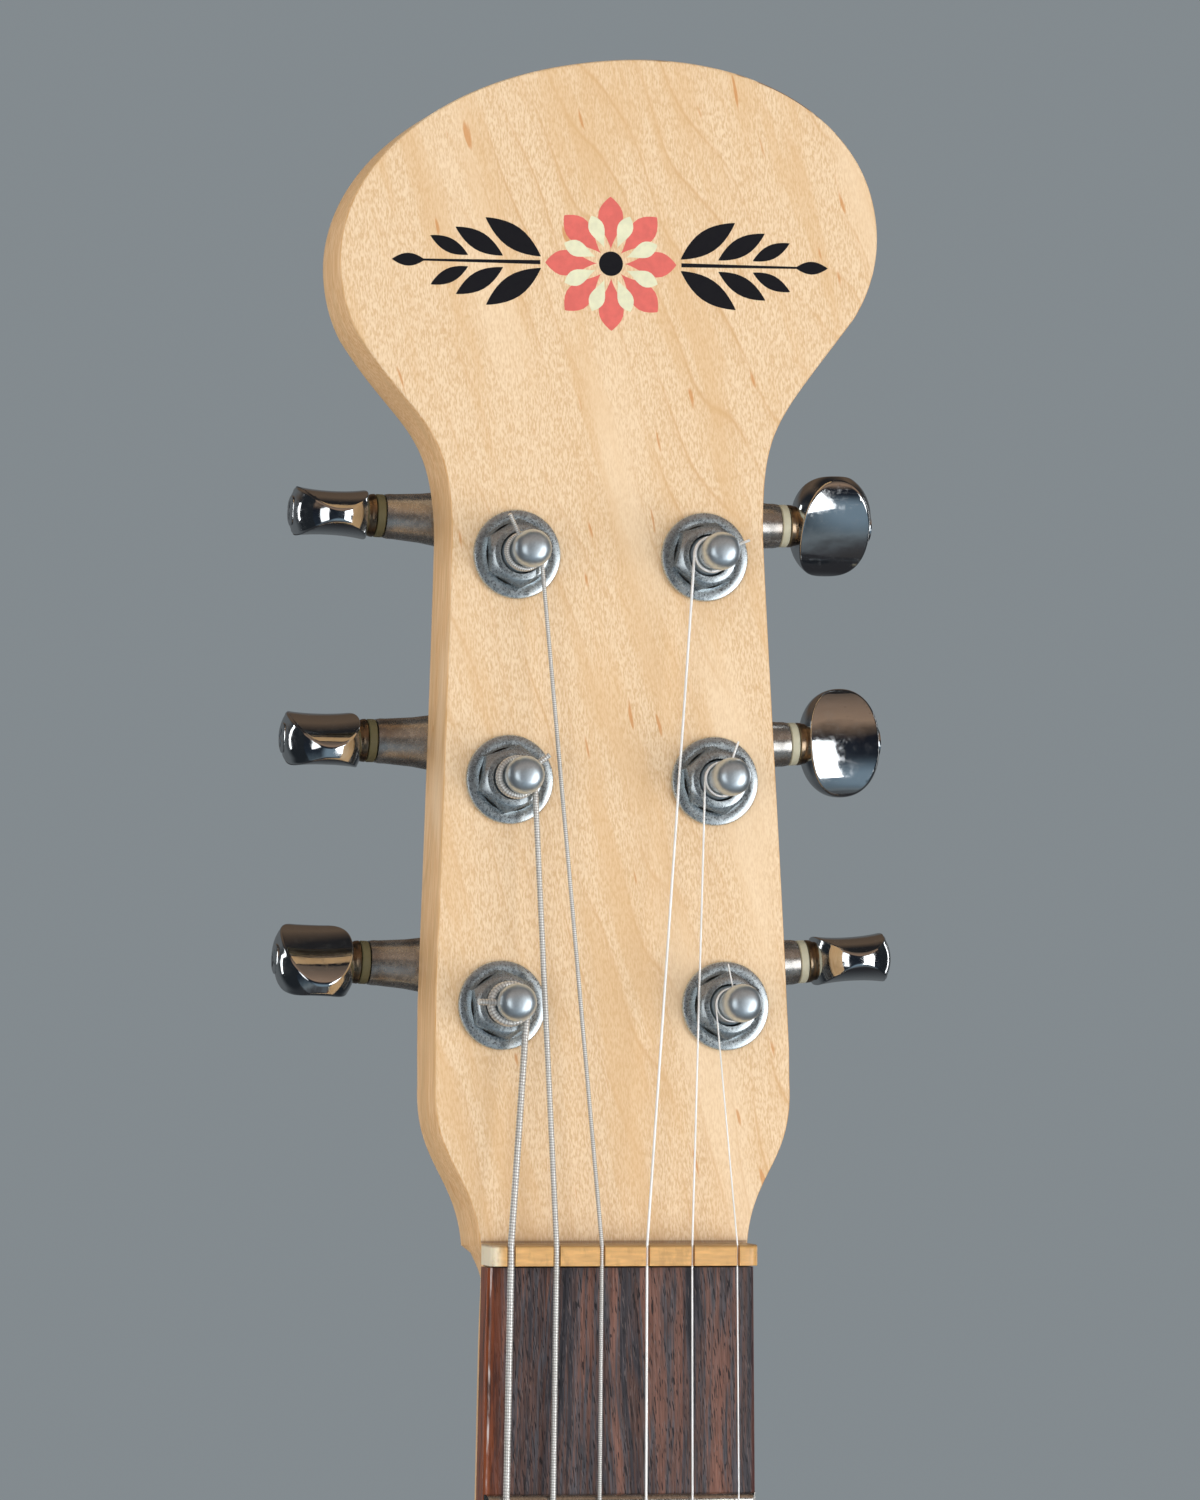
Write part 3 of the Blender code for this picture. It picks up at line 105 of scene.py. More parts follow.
BUZZ_CURVE = 220.0
BUZZ_TOP = 9.35
HEIGHT_SCREW_SIDE = 31.5
WORM_OFFSET = 6.8
WORM_DEPTH = 5.3
WORM_HEIGHT = -HEAD_DEPTH - WORM_DEPTH
HOUSING_DEPTH = 10.8
STEM_END = 16.9
BUTTON_START = 19.1
POST_RADIUS = 2.25
POST_HOLE_HEIGHT = 8.0
PLATE_PLACE = -417.0
PLATE_HOLES = [(x, PLATE_PLACE + z) for x in (-19, 19) for z in (-25.5, 25.5)]
STRAP_HEEL_PLACE = -478.0
PICKUP_PLACE = -540.0
PICKUP_MIDDLE = 1.4
PICKUP_RADIUS = 6.35
PICKUP_HALF_LENGTH = 36.5
BASE_MIDDLE = -647.0
BASE_HALF_SIZE = (44.0, 35.0)
BASE_THICKNESS = 1.5
TAIL_PLACE = -668.0
TAIL_HEIGHT = -4.0
BOWL_CENTRE = -612.0
BOWL_RADII = (149.0, 123.0)
BOWL_JOIN = 38
BODY_MIDDLE = 24.5
JACK_LAND = 147.4
GUARD_CENTRE = (75.0, -663.0)
GUARD_TURN = radians(19.8)
GUARD_THICKNESS = 1.9
KNOB_REACH = 26.5
CONTROL_HOLE = 4.0
JACK_PLATE_THICKNESS = 1.6
NECK_PLATE_THICKNESS = 2.0
PLATE_SCREW_BORE = 2.4
TUNER_BORE = 5.0
FLOOR_HEIGHT = -0.7485
PHOTO_FOCAL_PIXELS = 9378.0
PHOTO_HEIGHT_PIXELS = 1500.0


def size(name, text, value, **limits):
    """A length that a user may change."""
    return FloatProperty(name=name, description=text, default=value, unit="LENGTH", **limits)


def colour(name, text, value):
    """A colour that a user may change."""
    return FloatVectorProperty(name=name, description=text, default=value, size=3, min=0.0,
                               max=1.0, subtype="COLOR")


class SitarSizes(bpy.types.PropertyGroup):
    scale_length: size("Scale length", "From the nut to the top of the bridge plate", 0.635,
                       min=0.5, max=0.8)
    frets: IntProperty(name="Frets", description="Number of frets on the fretboard", default=21,
                       min=12, max=24)
    fret_width: size("Fret width", "Width of a fret's crown", 0.0024)
    fret_height: size("Fret height", "Height of a fret's crown", 0.0011)
    coil_turns: FloatProperty(name="Turns on a post", default=1.75,
                              description="Turns of each string on its post")
    button_length: size("Button length", "Length of a tuner button along its shaft", 0.0127)
    button_width: size("Button width", "Width of a tuner button across its shaft", 0.0170)
    button_rim: size("Button rim", "Thickness of a tuner button at its ends", 0.0077)
    button_waist: size("Button waist", "Thickness of a tuner button halfway along", 0.0068)
    washer_radius: size("Washer radius", "Radius of the washer under each bushing", 0.00685)
    knob_height: size("Knob height", "Height of the volume and tone knobs", 0.012)


class SitarColours(bpy.types.PropertyGroup):
    maple: colour("Maple", "Lacquered maple of the neck", (0.772, 0.590, 0.394))
    rosewood: colour("Rosewood", "Ground colour of the fretboard", (0.095, 0.050, 0.040))
    bone: colour("Bone", "Amber bone of the nut", (0.69, 0.40, 0.15))
    lacquer: colour("Lacquer", "Crackled lacquer on the body", (0.26, 0.012, 0.010))
    binding: colour("Binding", "Cream plastic of the rim and the control plate",
                    (0.74, 0.65, 0.45))
    backdrop: colour("Backdrop", "Studio background behind the instrument",
                     (0.228, 0.256, 0.274))
    floor: colour("Floor", "Pale studio floor", (0.62, 0.62, 0.61))


def sizes():
    return bpy.context.scene.sitar_sizes


def mm(name):
    """One of the user's sizes in millimetres."""
    return getattr(sizes(), name) / MM


def chosen(name):
    """One of the user's colours."""
    return tuple(getattr(bpy.context.scene.sitar_colours, name))


# Places and outlines, in millimetres

HEAD_UP = Vector((0.0, sin(HEAD_TILT), cos(HEAD_TILT)))
HEAD_FRONT = Vector((0.0, -cos(HEAD_TILT), sin(HEAD_TILT)))
X_AXIS, Y_AXIS, Z_AXIS = (Vector(v) for v in ((1, 0, 0), (0, 1, 0), (0, 0, 1)))


def on_head(u, s, height=0.0):
    """A place on the headstock: across, up from the nut and above its face."""
    return Vector((0.0, 0.0, NUT_LENGTH)) + X_AXIS * u + HEAD_UP * s + HEAD_FRONT * height


def axes(origin, x, y, z):
    matrix = Matrix((x, y, z)).transposed().to_4x4()
    matrix.translation = Vector(origin)
    return matrix


def to_front(x, z, y=0.0):
    """Stands a piece that was modelled about Z on the front, pointing at the player."""
    return axes((x, y, z), X_AXIS, Z_AXIS, -Y_AXIS)


def to_back(x, z, y=0.0):
    return axes((x, y, z), X_AXIS, -Z_AXIS, Y_AXIS)


def to_side(y, z, x=0.0):
    """Points a piece that was modelled about Z out of the treble side."""
    return axes((x, y, z), Y_AXIS, Z_AXIS, X_AXIS)


def shift(x, y, z):
    return Matrix.Translation((x, y, z))


def turn_about_z(angle):
    return Matrix.Rotation(angle, 4, "Z")


def side_of(string):
    return 1 if string <= 3 else -1


def post_centre(string):
    row = string - 1 if string <= 3 else 6 - string
    return Vector((side_of(string) * TUNER_HALF_SPACING[row],
                   TUNER_ROW_START + row * TUNER_ROW_PITCH))


def tuner_frame(string):
    """On a post's axis at the headstock's face: X points out of the edge, Z to the front."""
    skew = radians(TUNER_SKEW[string])
    out = Vector((side_of(string) * cos(skew), 0, 0)) + HEAD_UP * sin(skew)
    return axes(on_head(*post_centre(string)), out, HEAD_FRONT.cross(out), HEAD_FRONT)


def key_frame(string):
    """On a key's axis beside its post: Z runs out along the shaft, Y faces the button's face."""
    tuner = tuner_frame(string)
    out, across, front = (tuner.col[i].to_3d() for i in range(3))
    up = across * side_of(string)
    origin = tuner.translation + up * WORM_OFFSET + front * WORM_HEIGHT
    turn = radians(BUTTON_TURN[string])
    face = front * cos(turn) + up * sin(turn)
    return axes(origin, face.cross(out), face, out)


def scale_mm():
    return mm("scale_length")


def fret_place(fret):
    return -scale_mm() * (1 - 2 ** (-fret / 12))


def board_end():
    return fret_place(21) - BOARD_OVERHANG


def half_width(z):
    return NUT_WIDTH / 2 - z * (BOARD_HALFWAY_WIDTH - NUT_WIDTH) / 2 / (scale_mm() / 2)


def string_over(string, spacing, top, z):
    """Where a string crosses the nut or the bridge."""
    x = STRING_SHIFT + (3.5 - string) * spacing
    return Vector((x, -top - GAP - STRING_DIAMETER[string] / 2, z))


def string_at_nut(string):
    return string_over(string, NUT_SPACING, NUT_SLOT_FLOOR, 0)


def string_at_saddle(string):
    return string_over(string, BRIDGE_SPACING, BUZZ_TOP, -scale_mm())


def knob_place(which):
    way = {"volume": KNOB_REACH, "tone": -KNOB_REACH}[which]
    return GUARD_CENTRE[0] + way * sin(GUARD_TURN), GUARD_CENTRE[1] + way * cos(GUARD_TURN)


def ellipse_point(centre, radii, turn, angle, fullness=2.0):
    """A place on a turned ellipse, which a fullness over 2 makes squarer."""
    x, z = (radius * copysign(abs(share) ** (2 / fullness), share)
            for radius, share in zip(radii, (cos(angle), sin(angle))))
    return centre[0] + x * cos(turn) - z * sin(turn), centre[1] + x * sin(turn) + z * cos(turn)


def bulb_point(angle):
    return ellipse_point(BULB_CENTRE, BULB_RADII, BULB_TURN, angle, BULB_FULLNESS)


def arc(centre, radii, first, last, steps, turn=0.0):
    """Points along an ellipse, without the last one."""
    return [ellipse_point(centre, radii, turn, first + (last - first) * i / steps)
            for i in range(steps)]


def bezier(start, lead_out, lead_in, end, steps):
    """Points along a cubic curve, without its last point."""
    points = []
    for i in range(steps):
        t = i / steps
        a, b, c, d = (1 - t) ** 3, 3 * t * (1 - t) ** 2, 3 * t * t * (1 - t), t ** 3
        points.append(tuple(a * start[k] + b * lead_out[k] + c * lead_in[k] + d * end[k]
                            for k in (0, 1)))
    return points


def inset(points, distance, closed=True):
    """Moves each point of a counter-clockwise outline inwards."""
    count = len(points)
    result = []
    for i, (x, z) in enumerate(points):
        before = points[(i - 1) % count] if closed or i > 0 else points[i]
        after = points[(i + 1) % count] if closed or i < count - 1 else points[i]
        along = Vector((after[0] - before[0], after[1] - before[1])).normalized()
        result.append((x - along.y * distance, z + along.x * distance))
    return result


def rounded_rectangle(half_x, half_z, radius, centre=(0.0, 0.0), steps=8):
    points = []
    for corner in range(4):
        cx = (half_x - radius) * (1 if corner in (0, 3) else -1)
        cz = (half_z - radius) * (1 if corner in (0, 1) else -1)
        for i in range(steps + 1):
            turn = pi / 2 * (corner + i / steps)
            points.append((centre[0] + cx + radius * cos(turn),
                           centre[1] + cz + radius * sin(turn)))
    return points


def head_outline():
    """From the right shoulder up over the bulb and down to the left shoulder."""
    waist_x, waist_s = HEAD_WAIST
    side_x, side_s = HEAD_SHOULDER
    first, last = radians(-31), radians(194)
    right, left = bulb_point(first), bulb_point(last)
    inner = waist_x - 0.2
    points = [(side_x, side_s + 5.0)]
    points += bezier((side_x - 0.3, side_s + 12), (side_x - 0.9, side_s + 30),
                     (waist_x + 0.5, waist_s - 19), (inner, waist_s), 16)
    points += bezier((inner, waist_s), (inner, waist_s + 17.6),
                     (right[0] - 13.0, right[1] - 17.0), right, 36)
    steps = 110
    points += [bulb_point(first + (last - first) * i / steps) for i in range(steps)]
    inner = -waist_x - 0.2
    points += bezier(left, (left[0] + 9.0, left[1] - 14.1), (inner, waist_s + 18.0),
                     (inner, waist_s), 36)
    points += bezier((inner, waist_s), (-waist_x - 0.8, waist_s - 19),
                     (-side_x + 0.9, side_s + 30), (-side_x + 0.1, side_s + 12), 16)
    return points + [(-side_x + 0.1, side_s + 12), (-side_x, side_s + 5.0)]


def body_outline():
    """Counter-clockwise from the treble side, with the gourd's shoulders at the top."""
    centre, join_angle = (0.0, BOWL_CENTRE), radians(BOWL_JOIN)
    join = ellipse_point(centre, BOWL_RADII, 0.0, join_angle)
    slope = Vector((-BOWL_RADII[0] * sin(join_angle),
                    BOWL_RADII[1] * cos(join_angle))).normalized()
    top, half, corner = -385.0, 36.0, 8
    right = bezier(join, (join[0] + slope.x * 70, join[1] + slope.y * 70), (half, top - 55),
                   (half, top), 40)
    right += [(half - corner + corner * cos(pi / 16 * i), top + corner * sin(pi / 16 * i))
              for i in range(9)]
    left = [(-x, z) for x, z in reversed(right[1:])]
    return right + left + arc(centre, BOWL_RADII, radians(180 - BOWL_JOIN),
                              radians(360 + BOWL_JOIN), 130)


# Modelling steps

def only(obj):
    """Leaves one object selected and active."""
    if bpy.context.object and bpy.context.object.mode != "OBJECT":
        bpy.ops.object.mode_set(mode="OBJECT")
    for other in bpy.context.selected_objects:
        other.select_set(False)
    obj.select_set(True)
    bpy.context.view_layer.objects.active = obj


def start(obj):
    """Opens an object for editing with nothing in it selected."""
    only(obj)
    bpy.ops.object.mode_set(mode="EDIT")
    bpy.ops.mesh.select_all(action="DESELECT")
    return bmesh.from_edit_mesh(obj.data)


def pick(obj, kind, test):
    """Selects the edges or faces that pass a test."""
    mesh = bmesh.from_edit_mesh(obj.data)
    bpy.context.tool_settings.mesh_select_mode = (False, kind == "EDGE", kind == "FACE")
    for items in (mesh.faces, mesh.edges, mesh.verts):
        for item in items:
            item.select = False
    for item in {"EDGE": mesh.edges, "FACE": mesh.faces}[kind]:
        if test(item):
            item.select_set(True)
    mesh.select_flush_mode()
    bmesh.update_edit_mesh(obj.data)


def done(obj):
    bpy.ops.object.mode_set(mode="OBJECT")
    return obj


def named(name):
    obj = bpy.context.object
    obj.name = name
    obj.data.name = name
    return obj


def all_outwards():
    bpy.ops.mesh.select_all(action="SELECT")
    bpy.ops.mesh.normals_make_consistent(inside=False)


def pull(x, y, z):
    """Extrudes what is selected."""
    bpy.ops.mesh.extrude_region_move(TRANSFORM_OT_translate={"value": (x, y, z)})


def close_up(obj, merge=True):
    """Merges what meets, fills open ends and points every face outwards."""
    bpy.ops.mesh.select_all(action="SELECT")
    if merge:
        bpy.ops.mesh.remove_doubles(threshold=0.0005)
    bpy.ops.mesh.fill_holes(sides=0)
    all_outwards()
    return done(obj)


def lofted(name, rings, loop=False):
    """A ring of points, extruded from place to place."""
    count = len(rings[0])
    bpy.ops.mesh.primitive_circle_add(vertices=count, radius=1.0, fill_type="NOTHING",
                                      location=(0, 0, 0))
    obj = named(name)
    for vert, place in zip(obj.data.vertices, rings[0]):
        vert.co = place
    start(obj)
    bpy.context.tool_settings.mesh_select_mode = (False, True, False)
    bpy.ops.mesh.select_all(action="SELECT")
    targets = list(rings[1:]) + ([rings[0]] if loop else [])
    for number, places in enumerate(targets, 1):
        bpy.ops.mesh.extrude_edges_move(TRANSFORM_OT_translate={"value": (0, 0, 0)})
        mesh = bmesh.from_edit_mesh(obj.data)
        mesh.verts.ensure_lookup_table()
        for i, place in enumerate(places):
            mesh.verts[number * count + i].co = place
        bmesh.update_edit_mesh(obj.data)
    return close_up(obj)


def circle(radius, z, sides):
    return [(radius * cos(2 * pi * i / sides), radius * sin(2 * pi * i / sides), z)
            for i in range(sides)]


def turned(name, profile, sides=40, loop=False):
    """A piece turned about Z from (radius, height) pairs."""
    return lofted(name, [circle(radius, height, sides) for radius, height in profile], loop)


def plate(name, outline, front, back):
    """A flat piece between two depths, from an outline of (x, z) points."""
    bpy.ops.mesh.primitive_circle_add(vertices=len(outline), radius=1.0, fill_type="NGON",
                                      location=(0, 0, 0))
    obj = named(name)
    for vert, (x, z) in zip(obj.data.vertices, outline):
        vert.co = (x, front, z)
    start(obj)
    bpy.ops.mesh.select_all(action="SELECT")
    pull(0, back - front, 0)
    all_outwards()
    return done(obj)


def block(name, low, high):
    """A box between two corners."""
    centre = [(a + b) / 2 for a, b in zip(low, high)]
    bpy.ops.mesh.primitive_cube_add(size=1.0, location=centre,
                                    scale=[b - a for a, b in zip(low, high)])
    obj = named(name)
    bpy.ops.object.transform_apply(location=True, rotation=True, scale=True)
    return obj


def skin(name, rings, more_verts=(), more_faces=(), caps=1):
    """A new mesh over a row of rings, closed at its first end or at both, and what is added."""
    width, count = len(rings[0]), len(rings)
    faces = [list(range(width - 1, -1, -1))]
    if caps == 2:
        faces.append(list(range((count - 1) * width, count * width)))
    for low in range(0, (count - 1) * width, width):
        faces += [[low + i, low + (i + 1) % width, low + width + (i + 1) % width, low + width + i]
                  for i in range(width)]
    mesh = bpy.data.meshes.new(name)
    mesh.from_pydata([v for ring in rings for v in ring] + list(more_verts), [],
                     faces + list(more_faces))
    obj = bpy.data.objects.new(name, mesh)
    bpy.context.scene.collection.objects.link(obj)
    return obj


def bevel(obj, offset, segments, test):
    """Rounds the edges that pass a test."""
    start(obj)
    pick(obj, "EDGE", test)
    bpy.ops.mesh.bevel(offset=offset, segments=segments, profile=0.5, clamp_overlap=True)
    return done(obj)


def sharp(edge, degrees=30.0):
    return len(edge.link_faces) == 2 and edge.calc_face_angle(0.0) > radians(degrees)


def on_plane(item, axis, place):
    """Whether all corners of an edge or a face lie in one plane across an axis."""
    return all(abs(v.co[axis] - place) < 0.01 for v in item.verts)


def rim_at(axis, place):
    """A test for sharp edges that lie in one plane across Y (1) or Z (2)."""
    return lambda edge: sharp(edge) and on_plane(edge, axis, place)


def run_of(edge, axis):
    """How far an edge runs along an axis."""
    return abs(edge.verts[0].co[axis] - edge.verts[1].co[axis])


def remove(*objects):
    for obj in objects:
        bpy.data.objects.remove(obj, do_unlink=True)


def cut(obj, *tools, operation="DIFFERENCE"):
    """Cuts tools out of a piece, or unites or crosses them with it."""
    for tool in tools:
        only(obj)
        modifier = obj.modifiers.new("boolean", "BOOLEAN")
        modifier.object, modifier.operation, modifier.solver = tool, operation, "EXACT"
        bpy.ops.object.modifier_apply(modifier=modifier.name)
        remove(tool)
    return obj


def drill(obj, radius, low, high, sides, place=None):
    """Bores a round hole between two heights along a place's Z."""
    return cut(obj, moved(turned("hole", [(radius, low), (radius, high)], sides),
                          place or Matrix()))


def join(name, pieces):
    only(pieces[0])
    for piece in pieces[1:]:
        piece.select_set(True)
    bpy.ops.object.join()
    return named(name)


def copied(obj, name):
    """A copy with its own mesh."""
    twin = obj.copy()
    twin.data = obj.data.copy()
    twin.name = name
    twin.data.name = name
    bpy.context.scene.collection.objects.link(twin)
    return twin


def moved(obj, matrix):
    """Places a piece by its mesh, in millimetres."""
    obj.data.transform(matrix)
    return obj


def finished(obj, look, node=None, smooth=35.0, place=None, body="instrument", slot=None):
    """Brings a piece to metres, smooths it and gives it its body and material."""
    if place is not None:
        obj.data.transform(place)
    obj.data.transform(Matrix.Scale(MM, 4))
    only(obj)
    if smooth:
        bpy.ops.object.shade_smooth_by_angle(angle=radians(smooth))
    obj.data.materials.clear()
    obj.data.materials.append(looks(look))
    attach(obj, body)
    slot or SLOTS[look]
    if node:
        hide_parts(node)
    obj.select_set(False)
    return obj


def dress(node, look):
    """Gives a CAD node that stays in view its material."""
    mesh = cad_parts[node].data
    mesh.materials.clear()
    mesh.materials.append(looks(look))


# Materials

class Value:
    """A number, colour or vector worked out in a node tree, for plain sums with others."""

    def __init__(self, owner, node, socket):
        self.owner, self.node, self.socket = owner, node, socket

    def __add__(self, other):
        return self.owner.math("ADD", self, other)

    def __sub__(self, other):
        return self.owner.math("SUBTRACT", self, other)

    def __mul__(self, other):
        return self.owner.math("MULTIPLY", self, other)

    def __abs__(self):
        return self.owner.math("ABSOLUTE", self)

    def axis(self, name):
        return self.owner.node("SeparateXYZ", output=name, Vector=self)

    def line(self, low, high):
        """Maps a range to 0 to 1 in a straight line."""
        return self.owner.node("MapRange", Value=self, From_Min=low, From_Max=high)

    def spread(self, low, high, to_low=0.0, to_high=1.0):
        """Maps a range to another one smoothly, held at its ends."""
        return self.owner.node("MapRange", {"interpolation_type": "SMOOTHSTEP"}, Value=self,
                               From_Min=low, From_Max=high, To_Min=to_low, To_Max=to_high)


class Nodes:
    """A node tree that is built step by step."""

    def __init__(self, tree):
        self.tree = tree

    def set(self, node, key, value):
        socket = node.inputs[key]
        if isinstance(value, Value):
            self.tree.links.new(value.socket, socket)
        elif socket.type == "RGBA" and not isinstance(value, float):
            socket.default_value = (*value[:3], 1.0)
        else:
            socket.default_value = value

    def node(self, kind, settings=None, output=0, inputs=(), **named_inputs):
        """Adds a node, fills its sockets by order or by name and gives one of its outputs."""
        node = self.tree.nodes.new("ShaderNode" + kind)
        for key, value in (settings or {}).items():
            setattr(node, key, value)
        for key, value in dict(inputs).items():
            self.set(node, key, value)
        for key, value in named_inputs.items():
            self.set(node, key.replace("_", " "), value)
        return Value(self, node, node.outputs[output])

    def math(self, operation, *values):
        return self.node("Math", {"operation": operation}, inputs=enumerate(values))

    def vector_math(self, operation, *values, output=0):
        return self.node("VectorMath", {"operation": operation}, output, enumerate(values))

    def place(self, scale=(1, 1, 1), turn=(0, 0, 0), move=(0, 0, 0)):
        """Object coordinates, turned and moved, and then stretched."""
        source = self.node("TexCoord", output="Object")
        mapping = self.node("Mapping", Vector=source, Location=move, Rotation=turn)
        return self.vector_math("MULTIPLY", mapping, scale)

    def noise(self, scale, detail=2.0, rough=0.5, slant=0.0, move=(0, 0, 0), distortion=0.0):
        """Noise in object coordinates, with one scale or three, or over a vector."""
        if not isinstance(scale, Value):
            scale = self.place(scale if isinstance(scale, tuple) else (scale,) * 3,
                               (0, slant, 0), move)
        return self.node("TexNoise", Vector=scale, Scale=1.0, Detail=detail, Roughness=rough,
                         Distortion=distortion)

    def ramp(self, fac, *stops):
        """A colour ramp through (position, colour or grey) stops."""
        result = self.node("ValToRGB", Fac=fac)
        elements = result.node.color_ramp.elements
        while len(elements) < len(stops):
            elements.new(0.5)
        for element, (position, value) in zip(elements, stops):
            element.position = position
            element.color = (*((value,) * 3 if isinstance(value, (int, float)) else value), 1.0)
        return result

    def mix(self, fac, first, second, blend="MIX"):
        return self.node("Mix", {"data_type": "RGBA", "blend_type": blend}, 2,
                         ((0, fac), (6, first), (7, second)))

    def layers(self, tone, *layers):
        """Lays (share, colour) pairs over a tone."""
        for share, value in layers:
            tone = self.mix(share, tone, value)
        return tone


class Look(Nodes):
    """One node material."""

    def __init__(self, name, base, rough, metal=0.0, **sockets):
        self.material = bpy.data.materials.new(name)
        self.material.use_nodes = True
        super().__init__(self.material.node_tree)
        self.use(Base_Color=base, Roughness=rough, Metallic=metal, **sockets)

    def use(self, **sockets):
        for key, value in sockets.items():
            self.set(self.tree.nodes["Principled BSDF"], key.replace("_", " "), value)

    def done(self, height=None, strength=0.0, distance=0.0001, **sockets):
        """Links what was worked out, with a bump if it has a height."""
        if height:
            sockets["Normal"] = self.node("Bump", Height=height, Strength=strength,
                                          Distance=distance)
        self.use(**sockets)
        return self.material

    def normal(self, axis):
        return self.node("NewGeometry", output="Normal").axis(axis)


def shade(value, *factors):
    """A colour times one factor, or one for each channel."""
    return tuple(min(1.0, v * f) for v, f in zip(value, factors * (3 if len(factors) == 1 else 1)))


def maple_look():
    """Fine short figure on the face, long lines on the edges, slanting year rings and flecks."""
    base = chosen("maple")
    look = Look("maple", base, 0.42)
    height = look.place().axis("Z")
    front = look.normal("Y")
    side = abs(look.normal("X")).spread(0.45, 0.75)
    weave = look.noise((4600, 4600, 1150), 1.0, slant=0.05, distortion=0.1)
    fine = look.noise((8000, 8000, 2600), 1.0, move=(0.1, 0, 0))
    fibre = look.noise((2600, 2600, 60), 3.0, 0.6)
    face = look.mix(weave.spread(0.30, 0.68), shade(base, 0.89, 0.77, 0.62), shade(base, 1.12))
    face = look.mix(fine.spread(0.40, 0.62, 0.0, 0.28), face, shade(base, 1.14))
    edge = look.mix(fibre.spread(0.34, 0.66), shade(base, 0.94, 0.70, 0.44),
                    shade(base, 1.17, 1.02, 0.86))
    # The year rings slant, and bend over towards the treble side near the top.
    tilted = look.place((1, 1, 1), (0, 0.27, 0))
    over = look.math("MAXIMUM", height - 0.09, 0.0)
    across = (tilted.axis("X") + look.noise((34, 34, 7)) * 0.034 + tilted.axis("Y") * 0.4
              + over * over * 1.9)
    rings = look.math("FRACT", across * 170.0)
    late = look.ramp(rings, (0.0, 0.0), (0.55, 0.05), (0.86, 0.34), (0.92, 1.0), (0.985, 0.0))
    fade = look.noise((60, 60, 20)).spread(0.34, 0.66, 0.10)
    cloud = look.noise((210, 210, 20), 4.0, 0.6, 0.27)
    pale = look.noise((70, 70, 12), slant=0.30, move=(0.3, 0, 0))
    streak = look.noise((700, 700, 95), 1.0, slant=0.22, move=(0.120, 0.0, 0.031))
    head = look.place((1, 1, 1), (-HEAD_TILT, 0, 0))
    rim = head.axis("Z").spread(0.168, 0.178) * head.axis("X").spread(0.004, 0.012)
    turned_away = front.spread(-0.97, -0.75) * front.spread(0.0, -0.3)
    worn = rim * (look.noise(260).spread(0.42, 0.55) * turned_away)
    # Painted shadow: a dark line across the face just above the nut, where the nut shades it.
    from_nut = abs(height - 0.0037)
    painted_nut_shadow = from_nut.spread(0.0003, 0.0001, 0.0, 0.5) + from_nut.spread(0.0010, 0.0, 0.0, 0.2)
    tone = look.layers(
        look.mix(side, face, edge),
        (late * fade * 0.82, shade(base, 0.84, 0.66, 0.45)),
        (cloud.spread(0.45, 0.66, 0.0, 0.55), shade(base, 0.93, 0.78, 0.58)),
        (pale.spread(0.55, 0.70, 0.0, 0.5), shade(base, 1.17)),
        (streak.spread(0.742, 0.79, 0.0, 0.75), (0.62, 0.27, 0.08)),
        (worn * 0.8, (0.13, 0.05, 0.025)),
        (painted_nut_shadow * front.spread(-0.5, -0.9), (0.20, 0.10, 0.045)))
    return look.done(weave, 0.06, 0.00005, Base_Color=tone, Roughness=weave.spread(
        0.2, 0.8, 0.38, 0.5), Specular_IOR_Level=side.spread(0.0, 1.0, 0.3, 0.1))


def rosewood_look():
    """Dark blue-black and red-brown streaks with short open pores."""
    base = chosen("rosewood")
    look = Look("rosewood", base, 0.44, Specular_IOR_Level=0.22, Coat_Roughness=0.09)
    source = look.place()
    side = source.axis("X")
    across = side + look.noise((60, 60, 16)) * 0.009
    bands = look.noise(look.node("CombineXYZ", X=across * 300.0, Y=source.axis("Y") * 90.0,
                                 Z=source.axis("Z") * 11.0), 5.0, 0.62)
    tone = look.ramp(bands, (0.38, (0.016, 0.015, 0.020)), (0.44, (0.045, 0.041, 0.048)),
                     (0.49, shade(base, 0.95)), (0.53, (0.060, 0.062, 0.073)),
                     (0.57, shade(base, 1.4)), (0.67, (0.185, 0.084, 0.060)))
    fibre = look.noise((3800, 2500, 170), 3.0, 0.6, 0.04)
    tone = look.mix(0.85, tone, look.ramp(fibre, (0.32, 0.22), (0.68, 0.80)), "SOFT_LIGHT")
    pore = look.noise((5200, 3000, 520), 1.0, slant=0.12).spread(0.60, 0.66)
    glint = look.noise((5600, 3000, 480), 1.0, slant=0.12, move=(0.2, 0, 0))
    bass = side.spread(-0.0172, -0.0213)
    worn = look.noise((1100, 1100, 90), 4.0, 0.65, move=(0.2, 0, 0))
    warm = look.mix(worn.spread(0.34, 0.58), (0.070, 0.020, 0.009), (0.28, 0.066, 0.016))
    # A painted highlight: a thin bright line along the rolled edge on the bass side, broken in
    # places.
    rolled = look.normal("X")
    line = rolled.spread(-0.22, -0.34) * rolled.spread(-0.60, -0.48)
    broken = look.noise((900, 900, 130), 3.0, 0.6).spread(0.40, 0.56)
    tone = look.layers(
        tone,
        (pore * 0.9, (0.010, 0.009, 0.011)),
        (glint.spread(0.62, 0.70, 0.0, 0.4), (0.20, 0.15, 0.14)),
        (bass * 0.85, warm),
        (side.spread(0.0203, 0.0212) * 0.6, (0.10, 0.022, 0.016)),
        (line * (broken * 0.75), (0.66, 0.60, 0.58)))
    return look.done(fibre - pore, 0.3, 0.00006, Base_Color=tone, Coat_Weight=bass * 0.7,
                     Roughness=fibre.spread(0.2, 0.8, 0.38, 0.55))


